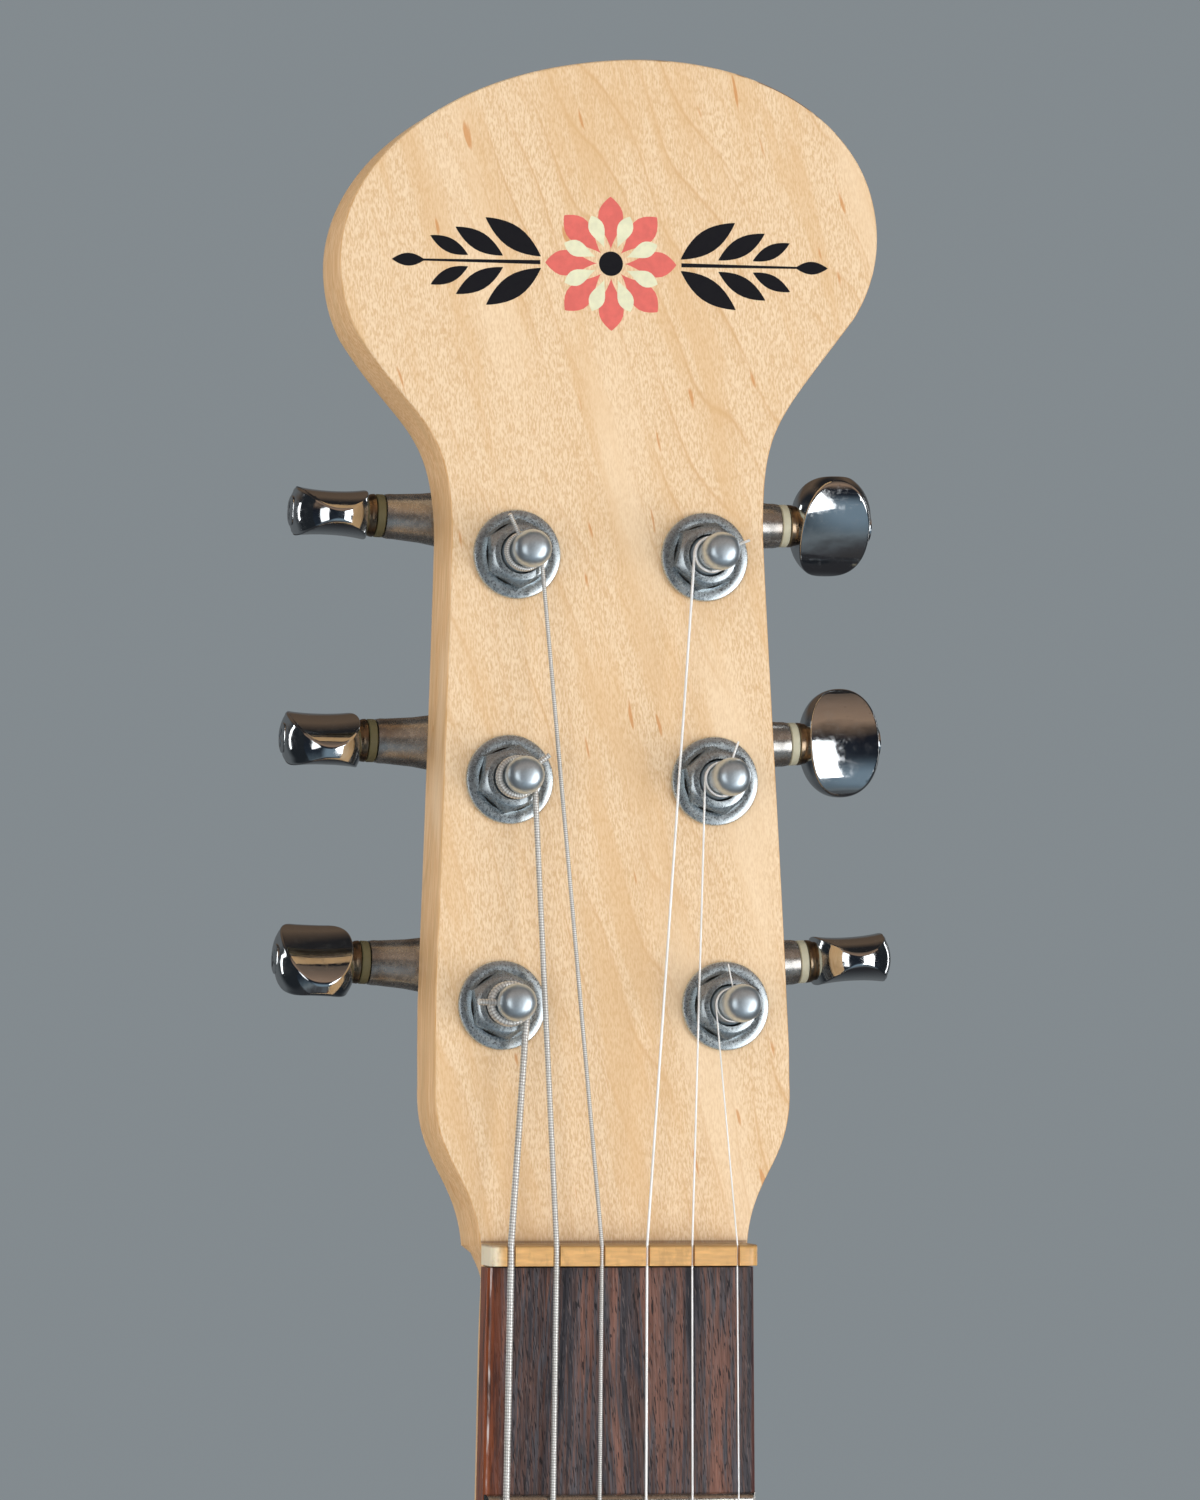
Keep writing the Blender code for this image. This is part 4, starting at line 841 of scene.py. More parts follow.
def bone_look():
    base = chosen("bone")
    look = Look("bone", base, 0.34, Subsurface_Weight=0.12, Subsurface_Scale=0.001,
                Subsurface_Radius=(1.0, 0.5, 0.2))
    streaks = look.noise((260, 900, 1500), 3.0)
    grime = look.noise((700, 700, 260), 4.0, 0.6, move=(0.4, 0, 0))
    tone = look.layers(
        look.ramp(streaks, (0.25, shade(base, 0.78)), (0.55, base), (0.8, shade(base, 1.25))),
        (look.place().axis("X").spread(-0.0188, -0.0205) * 0.9, (0.90, 0.81, 0.60)),
        # Painted shade along the nut's edge that rounds over towards the headstock.
        (look.place().axis("Z").spread(0.0030, 0.0034) * 0.7, shade(base, 0.4)),
        (grime.spread(0.52, 0.70, 0.0, 0.4), shade(base, 0.55)))
    return look.done(streaks, 0.08, 0.00005, Base_Color=tone)


def chrome_look():
    tint = (0.68, 0.71, 0.73)
    look = Look("chrome", tint, 0.06, 1.0)
    fine = look.noise((260, 260, 2400), 3.0)
    rough = look.noise(700, 5.0, 0.62).spread(0.42, 0.74, 0.06, 0.20)
    pits = look.noise(3200).spread(0.72, 0.78)
    return look.done(fine, 0.012, 0.00004, Base_Color=look.mix(pits, tint, (0.26, 0.22, 0.18)),
                     Roughness=rough + fine.spread(0.6, 0.8, 0.0, 0.12))


def satin_look(name, base, rough, tarnish=0.0, grain=1500.0, contrast=0.3, smear=330.0,
               metal=1.0):
    """Cast or plated metal with a soft sheen, mottled and darkened in patches."""
    look = Look(name, base, rough, metal)
    mottle = look.noise(grain, 4.0, 0.6)
    # A turn in three axes keeps the patches out of step with the mottle.
    patches = look.noise(look.place((smear,) * 3, (0.4, 0.2, 0.1)), 3.0)
    tone = look.mix(mottle.spread(0.34, 0.66), shade(base, 1 - contrast),
                    shade(base, 1 + contrast * 0.6))
    tone = look.mix(patches.spread(0.46, 0.72, 0.0, tarnish), tone, (0.17, 0.115, 0.075))
    return look.done(mottle, contrast * 0.3, 0.00004, Base_Color=tone, Roughness=mottle.spread(
        0.3, 0.7, rough * (1 - contrast), rough * (1 + contrast)))


def bright_wire_look():
    """Plain steel wire, bright all round and barely scuffed."""
    bright = (0.97, 0.97, 0.96)
    look = Look("plain_steel", bright, 0.33, 0.35)
    scuff = look.noise((700, 700, 90)).spread(0.4, 0.7)
    return look.done(Base_Color=look.mix(scuff, bright, (0.84, 0.84, 0.82)))


def plastic_look(name, base, rough, sheen=0.0, grain=900.0, shine=0.5):
    look = Look(name, base, rough, Coat_Weight=sheen, Coat_Roughness=0.12,
                Specular_IOR_Level=shine)
    speck = look.noise(grain, 3.0)
    tone = look.mix(speck.spread(0.3, 0.7), shade(base, 0.93), shade(base, 1.04))
    tone = look.mix(look.noise(45).spread(0.4, 0.7, 0.0, 0.35), tone, shade(base, 0.82))
    return look.done(speck, 0.03, 0.00004, Base_Color=tone,
                     Roughness=speck.spread(0.3, 0.7, rough * 0.85, rough * 1.2))


def wound_look():
    """Nickel wire wound round a core; the wraps follow the string's own length, with painted shade
    in the hollows between them.
    """
    look = Look("wound_nickel", (0.80, 0.80, 0.77), 0.36, 0.6)
    wraps = look.math("SINE", look.node("UVMap").axis("X") * (2 * pi))
    dull = look.noise((300, 300, 120)).spread(0.45, 0.75, 0.0, 0.25)
    # Painted shade: the troughs of the wave, the hollows between wraps, take the dark colour.
    tone = look.mix(wraps.spread(-0.9, 0.3), (0.54, 0.53, 0.51), (0.84, 0.84, 0.81))
    return look.done(wraps, 0.2, Base_Color=look.mix(dull, tone, (0.42, 0.39, 0.33)))


def lacquer_look():
    """Deep lacquer over a dark ground, crackled in two sizes and darker at the rim."""
    base = chosen("lacquer")
    look = Look("crackled_lacquer", base, 0.2, Coat_Weight=0.8, Coat_Roughness=0.05)
    warp = look.noise(60, 3.0)
    push = look.node("CombineXYZ", X=warp * 0.012, Z=warp * -0.009)
    bent = look.vector_math("ADD", look.place((1, 0.2, 1)), push)
    cracks = [look.node("TexVoronoi", {"feature": "DISTANCE_TO_EDGE"}, "Distance", Vector=bent,
                        Scale=scale).spread(high, low)
              for scale, low, high in ((95.0, 0.008, 0.035), (260.0, 0.012, 0.055))]
    line = look.math("MAXIMUM", cracks[0], cracks[1] * 0.4)
    source = look.place(move=(0.0, 0.0, 0.612))
    flat = look.node("CombineXYZ", X=look.math("DIVIDE", source.axis("X"), 0.149),
                     Z=look.math("DIVIDE", source.axis("Z"), 0.150))
    rim = look.vector_math("LENGTH", flat, output="Value").spread(0.45, 1.0)
    tone = look.layers(
        look.mix(look.noise(30, 3.0).spread(0.3, 0.7), shade(base, 0.75), shade(base, 1.5)),
        (rim * 0.85, shade(base, 0.16)), (line * 0.8, (0.012, 0.006, 0.005)))
    return look.done(look.math("SUBTRACT", 1.0, line), 0.18, 0.00012, Base_Color=tone)


def poplar_look():
    base = (0.60, 0.50, 0.32)
    look = Look("poplar", base, 0.6)
    fibre = look.noise((900, 500, 60), 4.0)
    return look.done(fibre, 0.15, Base_Color=look.mix(fibre.spread(0.3, 0.7),
                                                      (0.42, 0.33, 0.19), base))


def pearl_look():
    look = Look("pearl", (0.70, 0.70, 0.66), 0.2, Coat_Weight=0.5, Coat_Roughness=0.1)
    swirl = look.noise(420, 4.0, 0.6, distortion=2.5)
    return look.done(Base_Color=look.ramp(
        swirl, (0.3, (0.46, 0.50, 0.50)), (0.5, (0.76, 0.75, 0.70)),
        (0.65, (0.62, 0.70, 0.68)), (0.8, (0.85, 0.80, 0.80))))


# The slot of each look, and how each look is made.
SLOTS = {"maple": "maple", "rosewood": "rosewood", "bone": "bone", "pearl": "bone",
         "chrome": "chrome", "cast": "chrome", "cap": "chrome", "zinc": "plated",
         "steel": "steel", "fret": "steel", "wound": "wound", "brass": "brass",
         "collar": "brass", "nylon": "cream", "aged": "cream", "binding": "cream",
         "guard": "cream", "ivory": "cream", "lacquer": "crackle", "coral": "crackle",
         "rubber": "black", "ink": "black"}
MAKERS = {"maple": maple_look, "rosewood": rosewood_look, "bone": bone_look,
          "chrome": chrome_look, "pearl": pearl_look, "lacquer": lacquer_look,
          "wound": wound_look, "steel": bright_wire_look, "poplar": poplar_look}
SATINS = {
    "cast": ("cast_satin", (0.47, 0.46, 0.44), 0.26, 0.7, 1300.0, 0.14, 170.0, 0.85),
    "zinc": ("dull_zinc", (0.51, 0.57, 0.60), 0.29, 0.0, 2800.0, 0.19, 330.0, 0.88),
    "cap": ("satin_nickel", (0.60, 0.69, 0.75), 0.36, 0.0, 2600.0, 0.06, 330.0, 0.86),
    "fret": ("nickel_silver", (0.68, 0.67, 0.63), 0.22, 0.15, 2500.0, 0.2),
    "collar": ("aged_brass", (0.33, 0.25, 0.17), 0.3, 0.6, 900.0, 0.15),
    "brass": ("bridge_brass", (0.60, 0.42, 0.17), 0.22, 0.25, 1500.0, 0.2),
}
PLASTICS = {
    "nylon": ("nylon", (0.56, 0.56, 0.43), 0.4),
    # A darker copy of the nylon for the keys on the bass side, which paints the shade on that
    # side, away from the key light.
    "aged": ("aged_nylon", (0.125, 0.112, 0.055), 0.4),
    "binding": ("cream_binding", "binding", 0.3, 0.3),
    "guard": ("cream_plate", "binding", 0.25, 0.5, 1500.0),
    "black": ("black_plastic", (0.016, 0.016, 0.017), 0.4),
    "rubber": ("dark_gap", (0.02, 0.018, 0.016), 0.7),
    "ink": ("black_inlay", (0.008, 0.008, 0.011), 0.6, 0.0, 900.0, 0.15),
    "coral": ("coral_inlay", (0.74, 0.155, 0.130), 0.5, 0.0, 900.0, 0.2),
    "ivory": ("cream_inlay", (0.78, 0.77, 0.54), 0.5, 0.0, 900.0, 0.2),
}
MADE = {}


def looks(name):
    """The material of that name, made the first time it is asked for."""
    if name not in MADE:
        if name in SATINS:
            MADE[name] = satin_look(*SATINS[name])
        elif name in PLASTICS:
            title, base, *rest = PLASTICS[name]
            MADE[name] = plastic_look(title, chosen(base) if isinstance(base, str) else base,
                                      *rest)
        else:
            MADE[name] = MAKERS[name]()
    return MADE[name]


# Neck

def quarter(steps):
    """(1 - cosine, 1 - sine) pairs over a quarter turn, for a rounded edge."""
    return [(1 - cos(pi / 2 * i / steps), 1 - sin(pi / 2 * i / steps)) for i in range(steps + 1)]


def edge_levels(front_round, back_round, depth):
    """(inset, depth) pairs down a slab's side, with a flat margin before each rounded edge."""
    return ([(front_round + 0.35, 0.0)] + [(front_round * s, front_round * c)
                                           for c, s in quarter(3)]
            + [(0.0, depth / 2)] + [(back_round * c, depth - back_round * s)
                                    for c, s in quarter(5)] + [(back_round + 0.6, depth)])


def neck_section(half, depth, squareness, front_round=0.3, back_round=3.0):
    """(x, depth) points from the left edge round the back to the right edge."""
    levels = edge_levels(front_round, back_round, depth)
    flat = [(-(half - i), d) for i, d in levels]
    flat += [((half - back_round) * share, depth) for share in (-0.6, -0.3, 0.0, 0.3, 0.6)]
    flat += [(half - i, d) for i, d in reversed(levels)]
    power = 2 / NECK_ROUNDNESS
    points = []
    for i, (x, y) in enumerate(flat):
        angle = pi * i / (len(flat) - 1)
        round_x = -copysign(abs(cos(angle)) ** power, cos(angle)) * half
        round_y = abs(sin(angle)) ** power * depth
        points.append((round_x + (x - round_x) * squareness, round_y + (y - round_y) * squareness))
    return points


def neck_rings():
    """Sections from the square heel through the round neck to the headstock's shoulders."""
    rings = []

    def add(z, depth, squareness):
        rings.append([Vector((x, y, z)) for x, y in neck_section(half_width(z), depth,
                                                                 squareness)])

    def depth_at(z):
        return NECK_DEPTH - z * NECK_TAPER / (scale_mm() / 2)

    heel_start = board_end() + HEEL_LENGTH
    add(board_end(), HEEL_DEPTH, 1.0)
    add(heel_start, HEEL_DEPTH, 1.0)
    for i in range(1, 17):
        share = i / 16
        z = heel_start + HEEL_BLEND * share
        ease = share * share * (3 - 2 * share)
        add(z, HEEL_DEPTH + (depth_at(z) - HEEL_DEPTH) * ease, 1.0 - ease)
    for z in (-300.0, -260.0, -220.0, -180.0, -140.0, -100.0, -60.0, -30.0):
        add(z, depth_at(z), 0.0)
    for i in range(13):
        z = -NUT_BLEND + (NUT_BLEND + 1.6) * i / 12
        add(z, depth_at(z), ((z + NUT_BLEND) / (NUT_LENGTH + NUT_BLEND)) ** 2)
    flare = bezier((half_width(0) + 0.15, 0.0), (half_width(0) + 1.05, 11.1),
                   (HEAD_SHOULDER[0] + 0.75, 12.5), HEAD_SHOULDER, 24)
    for i, (half, s) in enumerate(flare + [HEAD_SHOULDER]):
        share = i / len(flare)
        depth = NECK_DEPTH + (HEAD_DEPTH - NECK_DEPTH) * min(1.0, share * 1.6)
        section = neck_section(half, depth, 1.0, HEAD_FRONT_ROUND,
                               2.0 + (HEAD_BACK_ROUND - 2.0) * share)
        rings.append([on_head(x, s, -y) for x, y in section])
    return rings


def neck_mesh():
    """One skin over the neck's sections and the headstock's slab."""
    rings, outline = neck_rings(), head_outline()
    levels = edge_levels(HEAD_FRONT_ROUND, HEAD_BACK_ROUND, HEAD_DEPTH)
    width, columns, rows = len(rings[0]), len(outline), len(levels)
    begin = len(rings) * width
    slab = [on_head(u, s, -depth) for distance, depth in levels
            for u, s in inset(outline, distance, False)]

    def at(row, column):
        return begin + row * columns + column

    faces = [[at(row, c), at(row, c + 1), at(row + 1, c + 1), at(row + 1, c)]
             for row in range(rows - 1) for c in range(columns - 1)]
    left, right = ([at(row, column) for row in range(rows)] for column in (columns - 1, 0))
    neck_left = [begin - width + row for row in range(rows)]
    neck_right = [begin - 1 - row for row in range(rows)]
    for a, b in zip(range(rows - 1), range(1, rows)):
        faces.append([neck_left[a], neck_left[b], left[b], left[a]])
        faces.append([neck_right[b], neck_right[a], right[a], right[b]])
    faces.append([*range(neck_left[-1], neck_right[-1] + 1), right[-1], left[-1]])
    faces.append([neck_right[0], neck_left[0], left[0], right[0]])
    faces.append([at(0, column) for column in range(columns)])
    faces.append([at(rows - 1, column) for column in reversed(range(columns))])
    obj = skin("maple_neck", rings, slab, faces)
    start(obj)
    return close_up(obj, merge=False)


class SITAR_OT_neck(bpy.types.Operator):
    """Carve the neck and headstock from one piece of maple"""
    bl_idname = "sitar.neck"
    bl_label = "Neck and Headstock"

    def execute(self, context):
        neck = neck_mesh()
        for string in STRINGS:
            drill(neck, TUNER_BORE, -HEAD_DEPTH - 2, 2.0, 32, tuner_frame(string))
        cut(neck, block("slot", (-3.0, -2.0, board_end() + 15), (3.0, 8.5, -8.0)))
        for place in PLATE_HOLES:
            drill(neck, PLATE_SCREW_BORE, -24.0, -7.0, 20, to_front(*place))
        finished(neck, "maple", "neck", 30.0)
        dress("truss_rod", "steel")
        return {"FINISHED"}


# Fretboard and nut

def board_surface(x):
    """How far the cambered board stands in front of the neck."""
    return BOARD_TOP - (BOARD_RADIUS - sqrt(BOARD_RADIUS ** 2 - x * x))


class SITAR_OT_fretboard(bpy.types.Operator):
    """Make the cambered rosewood board, its crowned frets and pearl dots"""
    bl_idname = "sitar.fretboard"
    bl_label = "Fretboard"

    def execute(self, context):
        rings = []
        for z in [board_end(), *(fret_place(f) for f in range(sizes().frets, 0, -1)), 0.0]:
            half = half_width(z)
            across = [half * (1 - i / 8) for i in range(17)]
            rings.append([(-half, -GAP, z), (half, -GAP, z)]
                         + [(x, -board_surface(x), z) for x in across])
        board = lofted("rosewood_board", rings)

        def long_edge(edge):
            return run_of(edge, 2) > 2 and all(
                abs(abs(v.co.x) - half_width(v.co.z)) < 0.02 and v.co.y < -2 for v in edge.verts)

        bevel(board, 0.9, 4, long_edge)
        finished(board, "rosewood", "fretboard", 40.0)
        self.frets()
        self.dots()
        return {"FINISHED"}

    def frets(self):
        width, height = mm("fret_width"), mm("fret_height")
        for fret in range(1, sizes().frets + 1):
            z = fret_place(fret)
            half = half_width(z) - 0.15
            rings = []
            for i in range(17):
                share = -1 + i / 8
                ring = []
                for k in range(9):
                    turn = pi * k / 8
                    rise = height * sin(turn) ** 0.8
                    x = half * share - copysign(0.55 * rise * abs(share) ** 14, share)
                    ring.append((x, -board_surface(half * share) - rise,
                                 z - width / 2 * cos(turn)))
                rings.append(ring)
            finished(lofted("fret_%02d" % fret, rings), "fret", smooth=50.0)

    def dots(self):
        number = 0
        for fret in (3, 5, 7, 9, 12, 15, 17, 19, 21):
            z = (fret_place(fret) + fret_place(fret - 1)) / 2
            for x in ((-9.0, 9.0) if fret == 12 else (0.0,)):
                number += 1
                lift = board_surface(x)
                dot = turned("dot_%02d" % number, [(3.0, lift - 1.2), (3.0, lift + 0.01),
                                                   (2.9, lift + 0.04)], 32)
                finished(dot, "pearl", place=to_front(x, z))
            number += 1
            mark = turned("dot_%02d" % number, [(0.9, 0.0), (0.9, 0.05)], 16)
            finished(mark, "pearl",
                     place=axes((-half_width(z), -2.9, z), Y_AXIS, -Z_AXIS, -X_AXIS))


class SITAR_OT_nut(bpy.types.Operator):
    """Shape the bone nut and file its six slots"""
    bl_idname = "sitar.nut"
    bl_label = "Nut"

    def execute(self, context):
        half = NUT_WIDTH / 2
        outline = [(-half, -GAP, 0), (half, -GAP, 0)]
        outline += [(half - 1.5 * c, -NUT_TOP + 1.3 * s, 1) for c, s in quarter(6)]
        for string in STRINGS:
            place, radius = string_at_nut(string), STRING_DIAMETER[string] / 2 + 0.12
            outline.append((place.x + radius, -NUT_TOP, 1))
            outline += [(place.x + radius * cos(pi * i / 8), place.y + radius * sin(pi * i / 8), 0)
                        for i in range(9)]
            outline.append((place.x - radius, -NUT_TOP, 1))
        outline += [(-half + 1.5 * s, -NUT_TOP + 1.3 * c, 1) for c, s in quarter(6)]
        # The top is rounded over at both ends, and the slots run through at one depth.
        levels = ((GAP, 0.14), (GAP + 0.05, 0.04), (GAP + 0.16, 0.0), (NUT_LENGTH - 0.5, 0.0),
                  (NUT_LENGTH - 0.25, 0.07), (NUT_LENGTH - 0.08, 0.25), (NUT_LENGTH, 0.5))
        finished(lofted("bone_nut", [[(x, y + drop * top, z) for x, y, top in outline]
                                     for z, drop in levels]), "bone", "nut")
        return {"FINISHED"}


# Tuning machines

def screw_head(name, radius, height, recess=0.5):
    """A domed head with a cross recess."""
    head = turned(name, [(radius * 0.55, -0.6), (radius, -0.2), (radius, height * 0.25),
                         (radius * 0.86, height * 0.7), (radius * 0.5, height * 0.95),
                         (radius * 0.08, height)], 32)
    arm, thick = radius * 0.62, radius * 0.13
    for x, y in ((arm, thick), (thick, arm)):
        cut(head, block("recess", (-x, -y, height * (1 - recess)), (x, y, height + 1)))
    return head


def screws(name, radius, height, places, turn=0.0):
    """A row of numbered screws, each turned a little further than the one before."""
    for number, place in enumerate(places, 1):
        finished(screw_head("%s_%d" % (name, number), radius, height), "chrome",
                 place=place @ turn_about_z(number * turn))


def hexagon(name, flats, low, high, bore, chamfer, turn=0.0):
    """A hexagonal nut with its corners turned off at the top, and a round bore."""
    radius = flats / 2 / cos(pi / 6)
    body = turned(name, [(radius, low), (radius, high)], 6)
    cone = turned("cone", [(radius + 2, low - 1), (radius + 2, high - chamfer - 0.5),
                           (radius + 0.15, high - chamfer * 0.92), (flats / 2 * 0.93, high - 0.08),
                           (flats / 2 * 0.88, high + 0.001)], 72)
    cut(body, cone, operation="INTERSECT")
    drill(body, bore, low - 2, high + 2, 48)
    bevel(body, 0.16, 2, lambda e: sharp(e, 25))
    return moved(body, turn_about_z(turn))


def button(name):
    """An oval button: crowned saddle-shaped faces, and a rim that bulges at both ends."""
    length, width = mm("button_length"), mm("button_width")
    rim, waist = mm("button_rim"), mm("button_waist")
    bulge, edge_round, fullness = 0.75, 0.28, 2 / 2.3
    half_a, half_b = length / 2 - bulge, width / 2
    outline = [[half * copysign(abs(share) ** fullness, share)
                for half, share in ((half_a, cos(turn)), (half_b, sin(turn)))]
               for turn in (2 * pi * i / 96 for i in range(96))]

    def height(a, b):
        saddle = waist + (rim - waist) * abs(a / half_a) ** 2.2
        return saddle / 2 * sqrt(1 - (b / (half_b * 1.031)) ** 2)

    def rounding(a):
        """The edge is crisp along the middle and rounder at the outer end."""
        return edge_round + 0.5 * max(0.0, a / half_a) ** 4

    def level(share):
        """A ring between the face's edge and the rim, which bulges most halfway down."""
        return [(b, (height(a, b) - rounding(a)) * share,
                 a + copysign(bulge * abs(a / half_a) ** 1.5 * (1 - share ** 2), a))
                for a, b in outline]

    face = [[(b * share, height(a * share, b * share), a * share) for a, b in outline]
            for share in (0.05, 0.15, 0.28, 0.42, 0.55, 0.67, 0.78, 0.87, 0.94)]
    for fall, shrink in quarter(5):
        ring = []
        for (a, b), (c, d) in zip(outline, inset(outline, 1.0)):
            r = rounding(a)
            share = r * shrink
            a, b = a + (c - a) * share, b + (d - b) * share
            ring.append((b, height(a, b) - r * fall, a))
        face.append(ring)
    face += [level(share) for share in (0.75, 0.5, 0.25)]
    back = [[(x, -y, z) for x, y, z in ring] for ring in reversed(face)]
    return moved(lofted(name, face + [level(0.0)] + back),
                 shift(0, 0, BUTTON_START + length / 2))


def housing(name, side):
    """A closed die-cast case with a tapered stem, a raised lid and a fixing ear."""
    back, lid = -HEAD_DEPTH, -HEAD_DEPTH - HOUSING_DEPTH
    x_low, x_high = -8.3, 6.5
    y_low, y_high = sorted((-7.5 * side, (WORM_OFFSET + 5.2) * side))
    case = block(name, (x_low, y_low, lid), (x_high, y_high, back - GAP))
    bevel(case, 4.4, 8, lambda e: run_of(e, 2) > 5)
    start(case)
    pick(case, "FACE", lambda f: on_plane(f, 2, lid))
    bpy.ops.mesh.inset(thickness=1.7)
    pull(0, 0, 0.35)
    bpy.ops.mesh.inset(thickness=0.35)
    pull(0, 0, -0.35)
    done(case)

    def outer_rim(edge):
        """The case's own edge, not the lid's."""
        sides = ((0, x_low), (0, x_high), (1, y_low), (1, y_high))
        return sharp(edge) and on_plane(edge, 2, lid) and (
            any(abs(v.co[axis] - place) < 0.01 for v in edge.verts for axis, place in sides)
            or any(len(f.verts) == 4 and abs(f.normal.z) < 0.1 and f.calc_area() > 12
                   for f in edge.link_faces))

    bevel(case, 1.1, 4, outer_rim)
    worm = to_side(side * WORM_OFFSET, WORM_HEIGHT)
    stem = turned("stem", [(4.5, 3.0), (4.5, 6.6), (4.25, 8.4), (3.85, 11.0), (3.5, 15.4),
                           (3.5, 16.2), (3.38, STEM_END)], 48)
    cut(case, moved(stem, worm), operation="UNION")
    drill(case, 2.3, -5.5, STEM_END + 2, 32, worm)
    drill(case, 3.3, WORM_HEIGHT - 3.3, back + 2, 32)
    ear_low, ear_high = sorted((-13.2 * side, -6.6 * side))
    ear = block("ear", (-4.3, ear_low, back - 2.0), (2.5, ear_high, back - GAP))
    bevel(ear, 3.3, 6, lambda e: run_of(e, 2) > 1 and all(v.co.y * side < -10 for v in e.verts))
    bevel(ear, 0.3, 2, lambda e: all(v.co.z < back - 1.9 for v in e.verts) and sharp(e))
    return cut(case, ear, operation="UNION")


def post(name):
    """A string post with its waist, its cap and the hole for the string."""
    waist = POST_RADIUS
    body = turned(name, [(3.0, WORM_HEIGHT - 3.0), (3.0, 4.05), (2.9, 4.2), (2.35, 4.75),
                         (waist, 5.4), (waist, 8.9), (2.4, 9.5), (2.72, 9.95), (2.9, 10.3),
                         (2.92, 10.6), (2.92, 11.6), (2.86, 12.2), (2.68, 12.75), (2.38, 13.2),
                         (1.95, 13.55), (1.4, 13.78), (0.75, 13.88), (0.2, 13.9)], 48)
    return drill(body, 0.68, -4.0, 4.0, 20, to_side(0, POST_HOLE_HEIGHT))


class SITAR_OT_tuners(bpy.types.Operator):
    """Make the six tuning machines: case, bushing, washer, post, collar, washer and button"""
    bl_idname = "sitar.tuners"
    bl_label = "Tuning Machines"

    def models(self):
        """One of each piece, to be copied to its six places."""
        r = mm("washer_radius")
        back = -HEAD_DEPTH + GAP
        nut = hexagon("hex", 9.3, 1.2, 4.2, 3.3, 1.15, radians(30))
        sleeve = turned("sleeve", [(3.3, back), (4.6, back), (4.6, 1.3), (3.3, 1.3)], 40, True)
        found = {
            "washer": turned("washer", [
                (4.9, 0.3), (r - 0.25, 0.3), (r, 0.55), (r, 0.9), (r - 0.12, 1.08),
                (r - 0.4, 1.18), (5.2, 1.2), (4.9, 1.1)], 72, True),
            "nut": join("hex", [nut, sleeve]),
            "post": post("stalk"),
            "button": button("knob"),
            "shaft": turned("shaft", [(2.0, -5.0), (2.0, 16.9), (1.9, 17.0), (1.9, 21.0)], 32),
            "nylon": turned("nylon", [(2.1, 17.05), (3.2, 17.05), (3.35, 17.2), (3.35, 18.2),
                                      (3.2, 18.35), (2.1, 18.35)], 48, True),
            "collar": turned("collar", [(1.95, 18.45), (3.15, 18.45), (3.35, 18.6), (3.3, 19.1),
                                        (3.1, 19.5), (2.7, 20.2), (1.95, 20.2)], 48, True),
            "screw": screw_head("end_screw", 2.35, 0.3)}
        for side in (1, -1):
            found[side] = housing("case_%d" % side, side)
        found["ear_screw"] = screw_head("ear_screw", 1.9, 1.0)
        return found

    def execute(self, context):
        models = self.models()
        for string in STRINGS:
            place, key, side = tuner_frame(string), key_frame(string), side_of(string)
            upright = axes(on_head(*post_centre(string)), X_AXIS, HEAD_UP, HEAD_FRONT)
            ear = axes((-0.9, -side * 10.0, -HEAD_DEPTH - 2.0), X_AXIS, -Y_AXIS, -Z_AXIS)
            end = shift(0, 0, BUTTON_START + mm("button_length") - 0.27)
            for model, name, look, body, where, node, smooth in (
                    (side, "machine_case", "cast", None, place, "tuner_housing", 32.0),
                    ("ear_screw", "case_screw", "chrome", None, place @ ear, None, 35.0),
                    ("washer", "post_washer", "zinc", None, place @ turn_about_z(string * 1.3),
                     None, 35.0),
                    ("nut", "hex_bushing", "zinc", None,
                     place @ turn_about_z(radians(NUT_TURN[string])), "tuner_bushing", 28.0),
                    ("post", "string_post", "cap", "post",
                     upright @ turn_about_z(radians(STUB_TURN[string])), "tuner_post", 40.0),
                    ("button", "key_button", "chrome", "key", key, "tuner_key", 28.0),
                    ("shaft", "key_shaft", "cast", "key", key, None, 35.0),
                    # The bass side's key washers take the darker nylon copy, as painted shade.
                    ("nylon", "key_washer", "nylon" if side > 0 else "aged", "key", key, None,
                     35.0),
                    ("collar", "key_collar", "collar", "key", key, None, 35.0),
                    ("screw", "key_screw", "chrome", "key", key @ end, None, 35.0)):
                finished(copied(models[model], "%s_%d" % (name, string)), look,
                         node and "%s_%d" % (node, string), smooth, where,
                         "%s_%d" % (body, string) if body else "instrument")
        remove(*models.values())
        return {"FINISHED"}


# Strings

def coil_on_post(string, turn_points=48):
    """From where a string meets its post, round it and up to the hole."""
    side, radius = side_of(string), STRING_DIAMETER[string] / 2
    reach = POST_RADIUS + 0.2 + radius
    centre = post_centre(string)
    away = Vector((string_at_nut(string).x, 0.0)) - centre
    first = atan2(away.y, away.x) - side * acos(reach / away.length)
    turns = sizes().coil_turns
    rise = (2 * radius + 0.25) * turns
    count = round(turns * turn_points)
    points = []
    for i in range(count + 1):
        angle = first - side * 2 * pi * i / turn_points
        points.append(on_head(centre.x + reach * cos(angle), centre.y + reach * sin(angle),
                              5.2 + rise * i / count))
    return points


def string_points(string):
    """A string's path from its ball end over the bridge and the nut to its post."""
    nut, saddle = string_at_nut(string), string_at_saddle(string)
    points = [Vector((saddle.x, TAIL_HEIGHT, TAIL_PLACE + z)) for z in (-9.5, 1.5)]
    for share in (-0.52, -0.45, -0.3, -0.15, 0.0):
        place = BUZZ_LENGTH * share
        points.append(saddle + Vector((0, place * place / 2 / BUZZ_CURVE, place)))
    return points + [nut, nut + Vector((0, 0, NUT_LENGTH))] + coil_on_post(string)


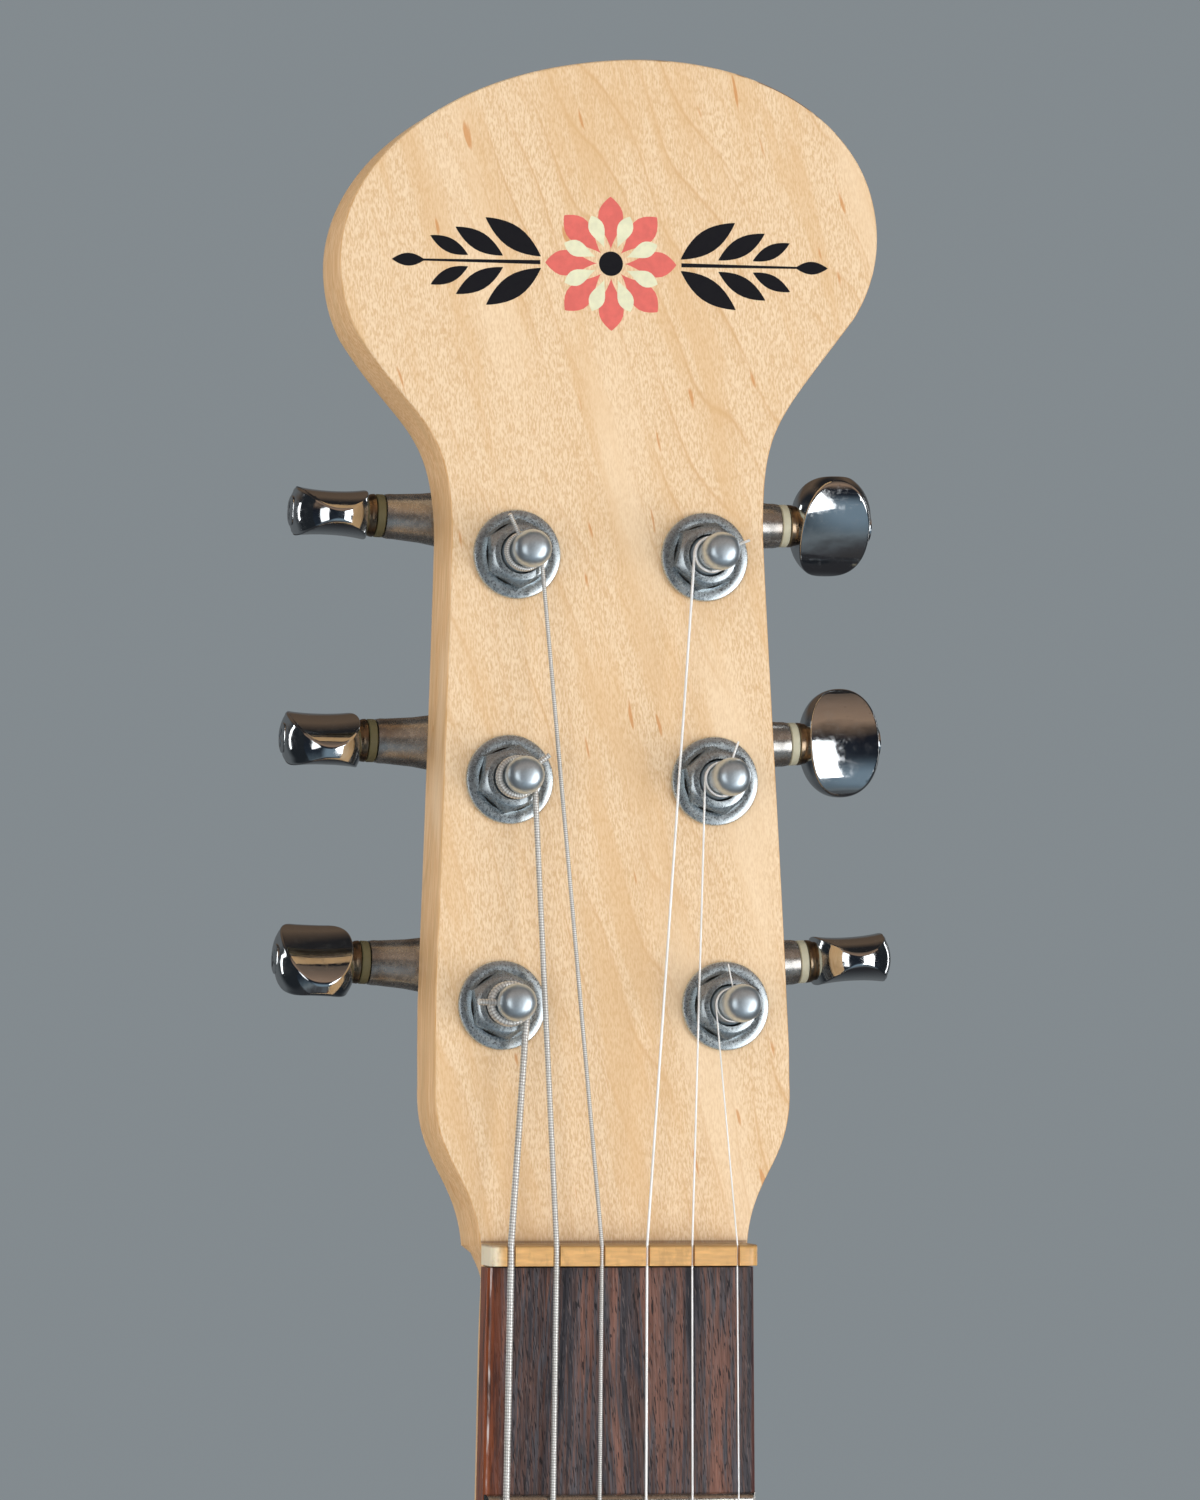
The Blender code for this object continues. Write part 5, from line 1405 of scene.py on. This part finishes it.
def resampled(points, step=1.0, first=0.0):
    """(point, length) pairs at even steps along a path, and at its own points before that."""
    result, run, carried = [], 0.0, 0.0
    for a, b in zip(points, points[1:]):
        length = (b - a).length
        if run + length < first:
            result.append((a, run))
        else:
            t = max(carried, first - run)
            while t < length:
                result.append((a + (b - a) * (t / length), run + t))
                t += step
            carried = t - length
        run += length
    result.append((points[-1], run))
    return result


def wire(name, path, radius, sides=WIRE_SIDES, hollow=1.0, below=-1.0):
    """A round wire along (point, length) pairs, thinner at every other one above a length."""
    rings, normal = [], None
    for i, (point, run) in enumerate(path):
        before, after = path[max(0, i - 1)][0], path[min(len(path) - 1, i + 1)][0]
        along = (after - before).normalized()
        if normal is None:
            normal = along.orthogonal().normalized()
        normal = (normal - along * normal.dot(along)).normalized()
        other = along.cross(normal)
        reach = radius * (hollow if run > below and i % 2 else 1.0)
        rings.append([point + (normal * cos(2 * pi * k / sides) + other * sin(2 * pi * k / sides))
                      * reach for k in range(sides)])
    obj = skin(name, rings, caps=2)
    lengths = obj.data.uv_layers.new(name="length")
    for loop in obj.data.loops:
        lengths.data[loop.index].uv = (path[loop.vertex_index // sides][1],
                                       (loop.vertex_index % sides) / sides)
    return obj


def wound_wire(name, points, radius, pitch, hollow, below=-1.0):
    """A wound wire, with its wraps modelled above a length and only in its map below it; the map
    marks the hollows between wraps, which the wound look paints in shade.
    """
    path = resampled(points, pitch / 2, max(0.0, below))
    obj = wire(name, path, radius, WIRE_SIDES, hollow, below)
    layer = obj.data.uv_layers[0].data
    for loop in obj.data.loops:
        index = loop.vertex_index // WIRE_SIDES
        run = path[index][1]
        # Modelled hollows get 0.75, which the wound look paints in shade, and crests 0.25; below,
        # the map runs on along the length, so the look paints the wraps and the shade between
        # them.
        layer[loop.index].uv.x = (0.75 if index % 2 else 0.25) if run > below else run / pitch
    return obj


class SITAR_OT_strings(bpy.types.Operator):
    """String the instrument: three plain and three wound, with their turns and cut ends"""
    bl_idname = "sitar.strings"
    bl_label = "Strings"

    def execute(self, context):
        for string in STRINGS:
            radius, pitch = STRING_DIAMETER[string] / 2, WINDING_PITCH.get(string)
            points, end = string_points(string), self.cut_end(string)
            look, node = "wound" if pitch else "steel", "string_%d" % string
            end_name, saddle = "cut_end_%d" % string, string_at_saddle(string)
            if pitch:
                # The wraps are modelled from a little below the first fret up to the post.
                below = sum((b - a).length for a, b in zip(points, points[1:8])) - 60.0
                piece = wound_wire("wound_" + node, points, radius, pitch, 0.965, below)
                stub = wound_wire(end_name, end, min(radius, 0.5), pitch, 0.9)
            else:
                piece = wire("plain_" + node, resampled(points, first=1e9), radius, 10)
                stub = wire(end_name, resampled(end, first=1e9), radius)
            finished(piece, look, node, 60.0)
            finished(stub, look, smooth=60.0, body="post_%d" % string)
            bore = radius + 0.1
            ball = turned("ball_end_%d" % string,
                          [(bore, -1.6), (1.5, -1.6), (1.8, -1.2), (1.45, -0.3), (1.45, 0.3),
                           (1.8, 1.2), (1.5, 1.6), (bore, 1.6)], 24, True)
            finished(ball, "brass", place=shift(saddle.x, TAIL_HEIGHT, TAIL_PLACE - 9.7))
        return {"FINISHED"}

    def cut_end(self, string):
        """Points from inside the post's hole to the cut end, which bends a little forward."""
        centre, turn = post_centre(string), radians(STUB_TURN[string])
        points = []
        for i in range(9):
            t = -2.0 + (STUB_REACH[string] + 2.0) * i / 8
            points.append(on_head(centre.x + t * cos(turn), centre.y + t * sin(turn),
                                  POST_HOLE_HEIGHT + 0.02 * max(0.0, t) ** 2))
        return points


# Ornament

def inlay(name, outline, height):
    """A thin shape let into the headstock's face."""
    face = axes(on_head(0, 0), X_AXIS, -HEAD_FRONT, HEAD_UP)
    return moved(plate(name, outline, -height, 0.01), face)


def leaf(length, width, place, turn, height=0.03, tip=0.0):
    """A pointed leaf, or with a tip a petal that is wider towards its end."""
    outline = []
    for i in range(28):
        t = 2 * pi * i / 28
        along = (1 - cos(t)) / 2
        swell = sin(pi * along ** (1.0 + tip)) ** 0.9 if 0 < along < 1 else 0.0
        across = copysign(width / 2 * swell, sin(t)) if swell else 0.0
        outline.append((place[0] + along * length * cos(turn) - across * sin(turn),
                        place[1] + along * length * sin(turn) + across * cos(turn)))
    return inlay("leaf", outline[::-1], height)


class SITAR_OT_ornament(bpy.types.Operator):
    """Lay a plain flower between two sprays of leaves on the headstock"""
    bl_idname = "sitar.ornament"
    bl_label = "Ornament"

    def execute(self, context):
        x, s = ORNAMENT_CENTRE
        coral, cream, black = [], [], []
        for i in range(8):
            for pieces, reach, length, width, height, turn in (
                    (coral, 2.2, 8.2, 4.0, 0.03, pi / 4 * i),
                    (cream, 2.6, 5.4, 2.5, 0.045, pi / 4 * i + pi / 8)):
                place = (x + reach * cos(turn), s + reach * sin(turn))
                pieces.append(leaf(length, width, place, turn, height, 0.5))
        for side in (-1, 1):
            for step, (along, length) in enumerate(((13.5, 10.5), (19.5, 8.6), (25.0, 6.6))):
                for way in (-1, 1):
                    turn = radians(way * (34 - 4 * step))
                    black.append(leaf(length, length * 0.33,
                                      (x + side * (along - 2.4), s + way * 0.9),
                                      turn if side > 0 else pi - turn))
            black.append(leaf(5.2, 2.0, (x + side * 29.4, s), 0.0 if side > 0 else pi))
            stem = [(x + side * along, s + half) for along, half in
                    ((11.2, -0.32), (30.0, -0.16), (30.0, 0.16), (11.2, 0.32))]
            black.append(inlay("stem", stem, 0.03))
        black.append(inlay("eye", arc(ORNAMENT_CENTRE, (1.9, 1.9), 0.0, 2 * pi, 32), 0.05))
        for name, pieces, look in (("petals", coral, "coral"), ("sepals", cream, "ivory"),
                                   ("leaves", black, "ink")):
            finished(join("ornament_" + name, pieces), look, smooth=0.0)
        return {"FINISHED"}


# Body

def jack_land():
    """What the flat for the jack plate takes off the side."""
    return block("land", (JACK_LAND, BODY_FRONT - 1, BOWL_CENTRE - 17),
                 (JACK_LAND + 9, BODY_BACK + 1, BOWL_CENTRE + 17))


def pocket(front, back):
    """What the neck's heel takes out of the body between two depths."""
    half = half_width(board_end()) + GAP
    return block("pocket", (-half, front, board_end() - GAP), (half, back, POCKET_MOUTH))


class SITAR_OT_body(bpy.types.Operator):
    """Make the lacquered panels, the binding, the neck plate and the strap buttons"""
    bl_idname = "sitar.body"
    bl_label = "Body"

    def execute(self, context):
        outline = body_outline()
        inner_front, inner_back = BODY_FRONT + PANEL_THICKNESS, BODY_BACK - PANEL_THICKNESS
        top = plate("top_plate", outline, BODY_FRONT, inner_front - GAP)
        bevel(top, 1.2, 5, rim_at(1, BODY_FRONT))
        back = plate("back_plate", outline, inner_back + GAP, BODY_BACK)
        bevel(back, 1.2, 5, rim_at(1, BODY_BACK))
        inner = inset(outline, 0.9)
        band = lofted("rim_binding", [
            [(x, y, z) for x, z in points] for points, y in (
                (outline, inner_front), (outline, inner_back), (inner, inner_back),
                (inner, inner_front))], True)
        reach, half = PICKUP_HALF_LENGTH + GAP, PICKUP_RADIUS + GAP
        cut(top, pocket(0.0, 8.0), jack_land(),
            block("slot", (-reach, 0.0, PICKUP_PLACE - half), (reach, 8.0, PICKUP_PLACE + half)))
        for which in ("volume", "tone"):
            drill(top, CONTROL_HOLE, -12.0, 2.0, 32, to_front(*knob_place(which)))
        cut(back, jack_land())
        for place in PLATE_HOLES:
            drill(back, PLATE_SCREW_BORE, -50.0, -40.0, 20, to_front(*place))
        drill(back, 2.1, -20.0, 2.0, 20, to_back(0, STRAP_HEEL_PLACE, BODY_BACK))
        cut(band, pocket(4.0, 22.3), jack_land())
        finished(top, "lacquer", "top_panel", 30.0)
        finished(back, "lacquer", "back_panel", 30.0)
        finished(band, "binding", "edge_binding", 30.0)
        dress("body_frame", "poplar")
        self.neck_plate()
        self.strap_buttons()
        return {"FINISHED"}

    def neck_plate(self):
        front = BODY_BACK + GAP
        back = front + NECK_PLATE_THICKNESS
        joint = plate("neck_joint_plate",
                      rounded_rectangle(25.5, 31.5, 6.0, (0.0, PLATE_PLACE)), front, back)
        bevel(joint, 0.5, 3, rim_at(1, back))
        finished(joint, "chrome", "neck_plate")
        for number, (x, z) in enumerate(PLATE_HOLES, 1):
            name = "neck_screw_%d" % number
            head = screw_head(name, 3.6, 1.6)
            shank = turned("shank", [(1.2, -40.5), (2.0, -38.0), (2.05, 0.2)], 20)
            finished(join(name, [head, shank]), "chrome",
                     place=to_back(x, z, back) @ turn_about_z(number * 0.7))

    def strap_buttons(self):
        end = axes((0, BODY_MIDDLE, BOWL_CENTRE - BOWL_RADII[1]), X_AXIS, -Y_AXIS, -Z_AXIS)
        heel = to_back(0, STRAP_HEEL_PLACE, BODY_BACK)
        for name, place in (("strap_button_end", end), ("strap_button_heel", heel)):
            body = turned(name + "_turned", [
                (1.8, -16.0), (1.8, 0.2), (5.5, 0.3), (5.5, 0.8), (4.3, 2.0), (3.7, 3.6),
                (3.6, 6.0), (3.9, 8.2), (5.4, 9.8), (6.8, 10.4), (7.0, 10.8), (7.0, 11.3),
                (6.5, 12.0), (5.0, 12.3), (3.6, 12.35)], 48)
            finished(body, "chrome", name, 40.0, place)
            finished(screw_head(name + "_screw", 2.9, 0.9, 0.8), "cap",
                     place=place @ shift(0, 0, 11.6))
            felt = turned(name + "_felt", [(2.2, 0.02), (6.3, 0.02), (6.3, 0.28), (2.2, 0.28)],
                          40, True)
            finished(felt, "rubber", place=place)


class SITAR_OT_bridge(bpy.types.Operator):
    """Make the bridge: base plate, curved plate, its height screws and the string anchor"""
    bl_idname = "sitar.bridge"
    bl_label = "Bridge"

    def execute(self, context):
        back = BODY_FRONT - GAP
        front = back - BASE_THICKNESS
        edge = BASE_HALF_SIZE[0]
        base = plate("bridge_tray", rounded_rectangle(*BASE_HALF_SIZE, 4.0, (0.0, BASE_MIDDLE)),
                     front, back)
        for side in (-1, 1):
            low, high = sorted((side * edge, side * (edge - BASE_THICKNESS)))
            wall = block("wall", (low, back - 7.2, BASE_MIDDLE - 29),
                         (high, back - 0.5, BASE_MIDDLE + 29))
            bevel(wall, 3.0, 6, lambda e: run_of(e, 0) > 1 and all(v.co.y < -3 for v in e.verts))
            cut(base, wall, operation="UNION")
        bevel(base, 0.35, 2, lambda e: sharp(e, 50))
        finished(base, "chrome", "bridge_base", 32.0)
        screws("bridge_screw", 2.6, 1.3, [to_front(x, z, front) for z in (-676, -618)
                                          for x in (-37, 37)], 0.9)
        self.buzz_plate()
        self.height_screws(-front + GAP)
        self.anchor(front - GAP)
        return {"FINISHED"}

    def buzz_plate(self):
        end = BUZZ_LENGTH / 2
        places = [BUZZ_LENGTH * (i / 32 - 0.5) for i in range(33)]
        profile = [(z * z / 2 / BUZZ_CURVE, z) for z in places]
        profile += [(3.35, end - 1.5), (3.35, -end + 1.5)]
        buzz = lofted("buzzing_plate", [[(x, y - BUZZ_TOP, z - scale_mm()) for y, z in profile]
                                        for x in (-36.0, 36.0)])
        for side in (-1, 1):
            drill(buzz, 2.1, 2.0, 14.0, 32, to_front(side * HEIGHT_SCREW_SIDE, -scale_mm()))
        bevel(buzz, 0.4, 3, lambda e: sharp(e, 50) and e.calc_length() < 80)
        finished(buzz, "brass", "buzz_plate", 32.0, body="buzz")

    def height_screws(self, foot):
        low = BUZZ_TOP + GAP
        for name, side in (("height_screw_bass", -1), ("height_screw_treble", 1)):
            profile = [(1.5, foot)]
            height = foot + 0.3
            while height < low - 0.5:
                profile += [(1.8, height), (1.55, height + 0.25)]
                height += 0.5
            profile += [(1.75, low), (2.9, low), (2.9, low + 0.9), (2.6, low + 1.3),
                        (2.1, low + 1.5)]
            screw = cut(turned(name + "_turned", profile, 32),
                        block("slot", (-4.0, -0.35, low + 0.75), (4.0, 0.35, low + 3)))
            finished(screw, "chrome", name, 32.0,
                     to_front(side * HEIGHT_SCREW_SIDE, -scale_mm()))

    def anchor(self, back):
        half = string_at_saddle(1).x + 7
        bar = block("string_anchor", (-half, -8.0, TAIL_PLACE - 8.0), (half, back, TAIL_PLACE))
        bevel(bar, 0.8, 4, lambda e: all(v.co.y < -7 for v in e.verts))
        for string in STRINGS:
            drill(bar, STRING_DIAMETER[string] / 2 + GAP, TAIL_PLACE - 10, TAIL_PLACE + 2, 20,
                  shift(string_at_saddle(string).x, TAIL_HEIGHT, 0))
        finished(bar, "brass", "tail_block")


class SITAR_OT_pickup(bpy.types.Operator):
    """Make the tube pickup and the wound bar in it"""
    bl_idname = "sitar.pickup"
    bl_label = "Pickup"

    def execute(self, context):
        radius, end = PICKUP_RADIUS, PICKUP_HALF_LENGTH
        dome = [(max(0.4, radius * (1 - s)), -end + 4.0 * c) for c, s in quarter(7)]
        grooves = [(radius - dip, side * end / 2 + along) for side in (-1, 1)
                   for dip, along in ((0.0, -0.15), (0.12, 0.0), (0.0, 0.15))]
        tube = turned("pickup_tube", dome + grooves + [(r, -h) for r, h in reversed(dome)], 64)
        cut(tube, turned("core", [(5.55, -end + 4), (5.55, end - 4)], 48),
            block("slit", (1.0, -1.5, -end + 6), (radius + 2, 1.5, end - 6)))
        finished(tube, "chrome", "pickup_cover", 32.0, to_side(PICKUP_MIDDLE, PICKUP_PLACE))
        dress("pickup_coil", "black")
        return {"FINISHED"}


class SITAR_OT_controls(bpy.types.Operator):
    """Make the control plate, the two potentiometers and their knobs"""
    bl_idname = "sitar.controls"
    bl_label = "Controls"

    def execute(self, context):
        back = BODY_FRONT - GAP
        front = back - GUARD_THICKNESS
        guard = plate("control_plate",
                      arc(GUARD_CENTRE, (22.0, 50.0), 0.0, 2 * pi, 120, -GUARD_TURN), front, back)
        bevel(guard, 0.8, 4, rim_at(1, front))
        knobs = {which: to_front(*knob_place(which)) for which in ("volume", "tone")}
        for place in knobs.values():
            drill(guard, CONTROL_HOLE, -4.0, 6.0, 32, place)
        finished(guard, "guard", "pickguard", 30.0)
        screws("plate_screw", 1.7, 0.8, [
            to_front(*ellipse_point(GUARD_CENTRE, (18.4, 46.0), -GUARD_TURN, radians(angle)),
                     front) for angle in (20, 90, 160, 200, 270, 340)], 1.1)
        for which, place in knobs.items():
            self.control(which, place, -front + GAP)
        return {"FINISHED"}

    def control(self, which, place, nut_low):
        """A potentiometer with its nut and shaft, and a ridged knob with a pointer."""
        shoulder = -BODY_FRONT - PANEL_THICKNESS
        nut_high, low = nut_low + 1.8, nut_low + 2.4
        high = low + mm("knob_height")
        pot = turned(which + "_case", [
            (0.5, shoulder - 10), (7.6, shoulder - 10), (8.0, shoulder - 9.6),
            (8.0, shoulder - 0.6), (7.6, shoulder), (3.7, shoulder), (3.7, nut_high + 0.2),
            (3.25, nut_high + 0.2), (3.25, shoulder - 5), (0.5, shoulder - 5)], 48)
        finished(pot, "zinc", which + "_pot", 32.0, place)
        finished(hexagon(which + "_nut", 10.0, nut_low, nut_high, 3.85, 0.5), "zinc",
                 smooth=28.0, place=place)
        shaft = turned(which + "_spindle", [(2.8, shoulder - 4.7), (2.95, shoulder - 4.4),
                                            (2.95, high - 3.0), (2.6, high - 2.5)], 36)
        cut(shaft, block("slot", (-0.4, -4.0, high - 7.0), (0.4, 4.0, high)))
        finished(shaft, "zinc", which + "_shaft", 32.0, place, which)
        rings = []
        for ridge, valley, z in (
                (0.4, 0.4, high - 2.2), (3.25, 3.25, high - 2.2), (3.25, 3.25, low),
                (9.3, 9.3, low), (9.6, 9.6, low + 0.3), (9.6, 9.6, low + 1.5),
                (9.2, 9.2, low + 2.0), (8.2, 7.95, low + 3.0), (8.1, 7.65, low + 3.6),
                (7.7, 7.3, high - 1.3), (7.3, 7.2, high - 0.5), (6.8, 6.8, high - 0.08),
                (6.2, 6.2, high), (0.4, 0.4, high)):
            rings.append([(reach * cos(pi * i / 48), reach * sin(pi * i / 48), z)
                          for i, reach in enumerate((valley, ridge) * 48)])
        finished(lofted(which + "_grip", rings), "guard", which + "_knob", 40.0, place, which)
        finished(block(which + "_pointer", (-0.45, 3.0, high - 0.02), (0.45, 6.6, high + 0.03)),
                 "ink", smooth=0.0, place=place, body=which)


class SITAR_OT_jack(bpy.types.Operator):
    """Make the output jack, its nut and its plate"""
    bl_idname = "sitar.jack"
    bl_label = "Output Jack"

    def execute(self, context):
        place = to_side(BODY_MIDDLE, BOWL_CENTRE, JACK_LAND)
        face = GAP + JACK_PLATE_THICKNESS
        cover = lofted("jack_cover", [[(x, y, z) for x, y in rounded_rectangle(13.0, 15.5, 4.0)]
                                      for z in (GAP, face)])
        bevel(cover, 0.4, 3, rim_at(2, face))
        drill(cover, 4.9, -2, 5, 40)
        finished(cover, "chrome", "jack_plate", 32.0, place)
        low = face + GAP
        high = low + 2.2
        jack = turned("jack_barrel", [
            (0.5, -29), (7.5, -29), (7.5, 0), (4.6, 0), (4.6, high + 0.9), (4.3, high + 1.2),
            (3.6, high + 1.2), (3.25, high + 0.9), (3.25, -27), (0.5, -27)], 48)
        finished(jack, "zinc", "output_jack", 32.0, place)
        finished(hexagon("jack_nut", 12.0, low, high, 4.65, 0.6), "chrome", smooth=28.0,
                 place=place, slot="plated")
        screws("jack_screw", 1.7, 0.8, [place @ shift(0, y, face) for y in (-11.6, 11.6)])
        return {"FINISHED"}


# Stage

def soft_light(name, place, target, width, height, power):
    """A rectangular lamp, pointed at a target."""
    data = bpy.data.lights.new(name, "AREA")
    data.shape = "RECTANGLE"
    data.size, data.size_y, data.energy = width, height, power
    lamp = bpy.data.objects.new(name, data)
    bpy.context.scene.collection.objects.link(lamp)
    lamp.location = place
    lamp.rotation_mode = "QUATERNION"
    lamp.rotation_quaternion = (Vector(target) - Vector(place)).to_track_quat("-Z", "Y")
    return lamp


class SITAR_OT_stage(bpy.types.Operator):
    """Set the floor, the backdrop, the soft lights and the camera"""
    bl_idname = "sitar.stage"
    bl_label = "Studio"

    def execute(self, context):
        self.camera()
        self.backdrop()
        floor = self.floor()
        self.room()
        # The two lamps near the headstock leave the floor out, where they would draw a line.
        unlit = bpy.data.collections.new("unlit_by_near_lamps")
        unlit.objects.link(floor)
        unlit.collection_objects[0].light_linking.link_state = "EXCLUDE"
        head = (0.0, 0.0, 0.05)
        for lamp in (soft_light("key_light", (0.83, -1.03, -0.15), head, 0.85, 0.88, 9.0),
                     soft_light("side_light", (-0.80, -1.02, 0.0), head, 0.70, 0.70, 2.7)):
            lamp.light_linking.receiver_collection = unlit
        # The broad fills light the colours and leave no shapes on polished metal.
        for name, place, target, width, power in (
                ("upper_fill", (-0.9, -3.6, 1.8), head, 2.8, 30.0),
                ("lower_fill", (-1.2, -3.4, -0.2), (0, 0, -0.5), 2.0, 23.0),
                ("edge_light", (-1.25, -0.05, 0.10), head, 0.3, 0.45),
                ("rim_light", (2.2, 3.4, 1.8), (0, 0, -0.2), 2.2, 56.0),
                ("back_light", (-2.4, 3.4, 0.3), (0, 0, -0.3), 2.2, 42.0)):
            soft_light(name, place, target, width, width, power).visible_glossy = False
        for name, side in (("left_strip", -1), ("right_strip", 1)):
            soft_light(name, (side * 2.6, 2.1, 0.3), head, 0.35, 1.6, 6.0)
        context.scene.view_settings.view_transform = "Standard"
        return {"FINISHED"}

    def floor(self):
        bpy.ops.mesh.primitive_circle_add(vertices=96, radius=3.2, fill_type="NGON",
                                          location=(0, 0, 0))
        floor = moved(named("studio_floor"), shift(0, 0, FLOOR_HEIGHT))
        tone = chosen("floor")
        look = Look("studio_floor", tone, 0.6)
        grain = look.noise(14, 4.0).spread(0.3, 0.7)
        floor.data.materials.append(look.done(
            Base_Color=look.mix(grain, shade(tone, 0.97), shade(tone, 1.02))))
        floor.visible_glossy = False
        return floor

    def room(self):
        """What polished metal sees in front: a dark room, warm above and blue-grey below."""
        bpy.ops.mesh.primitive_uv_sphere_add(segments=48, ring_count=24, radius=2.6,
                                             location=(0, 0, 0))
        room = named("studio_room")
        start(room)
        bpy.ops.mesh.select_all(action="SELECT")
        bpy.ops.mesh.bisect(plane_co=(0, -0.5, 0), plane_no=(0, 1, 0), clear_outer=True)
        bpy.ops.mesh.select_all(action="SELECT")
        bpy.ops.mesh.flip_normals()
        done(room)
        look = Look("studio_room", (0, 0, 0), 1.0)
        way = look.vector_math("NORMALIZE", look.place())
        height = way.axis("Z") + (look.noise(2.2, 4.0, 0.6) - 0.5) * 0.22
        tone = look.ramp(height.line(-1.0, 1.0), (0.0, (0.045, 0.042, 0.042)),
                         (0.05, (0.06, 0.06, 0.064)), (0.11, (0.16, 0.185, 0.20)),
                         (0.17, (0.08, 0.105, 0.125)), (0.30, (0.022, 0.030, 0.042)),
                         (0.60, (0.012, 0.014, 0.020)), (0.66, (0.10, 0.070, 0.052)),
                         (0.73, (0.34, 0.225, 0.155)), (0.85, (0.26, 0.175, 0.125)),
                         (1.0, (0.12, 0.09, 0.07)))
        apart = look.vector_math("DISTANCE", way, (0.150, -0.853, -0.5), output="Value")
        tone = look.mix(apart.spread(0.50, 0.12), tone, (0.20, 0.27, 0.33))
        look.set(look.tree.nodes["Material Output"], "Surface",
                 look.node("Emission", Color=tone, Strength=1.0))
        room.data.materials.append(look.material)
        for ray in ("camera", "diffuse", "transmission", "volume_scatter", "shadow"):
            setattr(room, "visible_" + ray, False)

    def camera(self):
        """The photograph's place: a long lens, a little to the bass side and level."""
        turn, lift, roll = radians(13.486), radians(-0.6), radians(0.425)
        forward = Vector((sin(turn) * cos(lift), cos(turn) * cos(lift), -sin(lift)))
        right = forward.cross(Z_AXIS).normalized()
        up = right.cross(forward)
        data = bpy.data.cameras.new("photo_camera")
        data.sensor_fit, data.sensor_width = "AUTO", 36.0
        data.lens = PHOTO_FOCAL_PIXELS / PHOTO_HEIGHT_PIXELS * 36.0
        data.clip_start = 0.05
        camera = bpy.data.objects.new("photo_camera", data)
        bpy.context.scene.collection.objects.link(camera)
        camera.matrix_world = axes(Vector((-0.00283, 0, 0.07903)) - forward * 1.437,
                                   right * cos(roll) + up * sin(roll),
                                   up * cos(roll) - right * sin(roll), -forward)
        bpy.context.scene.camera = camera

    def backdrop(self):
        """The backdrop's colour in view, a darker one on metal, and even light all round."""
        world = bpy.data.worlds.new("studio")
        bpy.context.scene.world = world
        world.use_nodes = True
        world.node_tree.nodes.clear()
        sky = Nodes(world.node_tree)

        def ground(tone, strength=1.0):
            return sky.node("Background", Color=tone, Strength=strength)

        def blend(*sources):
            return sky.node("MixShader", inputs=enumerate(sources))

        # Metal sees a dark room at the sides, and behind it a grey wall with brown above.
        way = sky.node("TexCoord", output="Generated")
        wall = sky.ramp(way.axis("Z").line(-1.0, 1.0), (0.05, (0.03, 0.03, 0.033)),
                        (0.34, (0.12, 0.13, 0.137)), (0.60, (0.125, 0.134, 0.14)),
                        (0.68, (0.10, 0.070, 0.050)), (0.84, (0.13, 0.088, 0.060)),
                        (0.94, (0.02, 0.019, 0.02)))
        room = blend(abs(way.axis("X")).line(0.74, 0.50), ground((0.018, 0.021, 0.025)),
                     ground(wall))
        backdrop = ground(chosen("backdrop"))
        result = ground((1.0, 1.0, 1.0), 0.40)
        for ray, seen in (("Transmission", backdrop), ("Glossy", room), ("Camera", backdrop)):
            result = blend(sky.node("LightPath", output="Is %s Ray" % ray), result, seen)
        sky.set(sky.tree.nodes.new("ShaderNodeOutputWorld"), "Surface", result)


class SITAR_PT_panel(bpy.types.Panel):
    """Lists the pieces in the order in which they are made"""
    bl_idname = "SITAR_PT_panel"
    bl_label = "Electric Sitar"
    bl_space_type = "VIEW_3D"
    bl_region_type = "UI"
    bl_category = "Sitar"

    def draw(self, context):
        for group in (context.scene.sitar_sizes, context.scene.sitar_colours):
            for name in group.bl_rna.properties.keys():
                if name not in ("rna_type", "name"):
                    self.layout.prop(group, name)
        for piece in PIECES:
            self.layout.operator(piece.bl_idname)


PIECES = (SITAR_OT_neck, SITAR_OT_fretboard, SITAR_OT_nut, SITAR_OT_tuners, SITAR_OT_strings,
          SITAR_OT_ornament, SITAR_OT_body, SITAR_OT_bridge, SITAR_OT_pickup, SITAR_OT_controls,
          SITAR_OT_jack, SITAR_OT_stage)
CLASSES = (SitarSizes, SitarColours, *PIECES, SITAR_PT_panel)


def register():
    for item in CLASSES:
        bpy.utils.register_class(item)
    bpy.types.Scene.sitar_sizes = PointerProperty(type=SitarSizes)
    bpy.types.Scene.sitar_colours = PointerProperty(type=SitarColours)


def unregister():
    del bpy.types.Scene.sitar_colours
    del bpy.types.Scene.sitar_sizes
    for item in reversed(CLASSES):
        bpy.utils.unregister_class(item)


def main():
    register()
    for name in ("neck", "fretboard", "nut", "tuners", "strings", "ornament", "body", "bridge",
                 "pickup", "controls", "jack", "stage"):
        getattr(bpy.ops.sitar, name)()


if __name__ == "__main__":
    main()
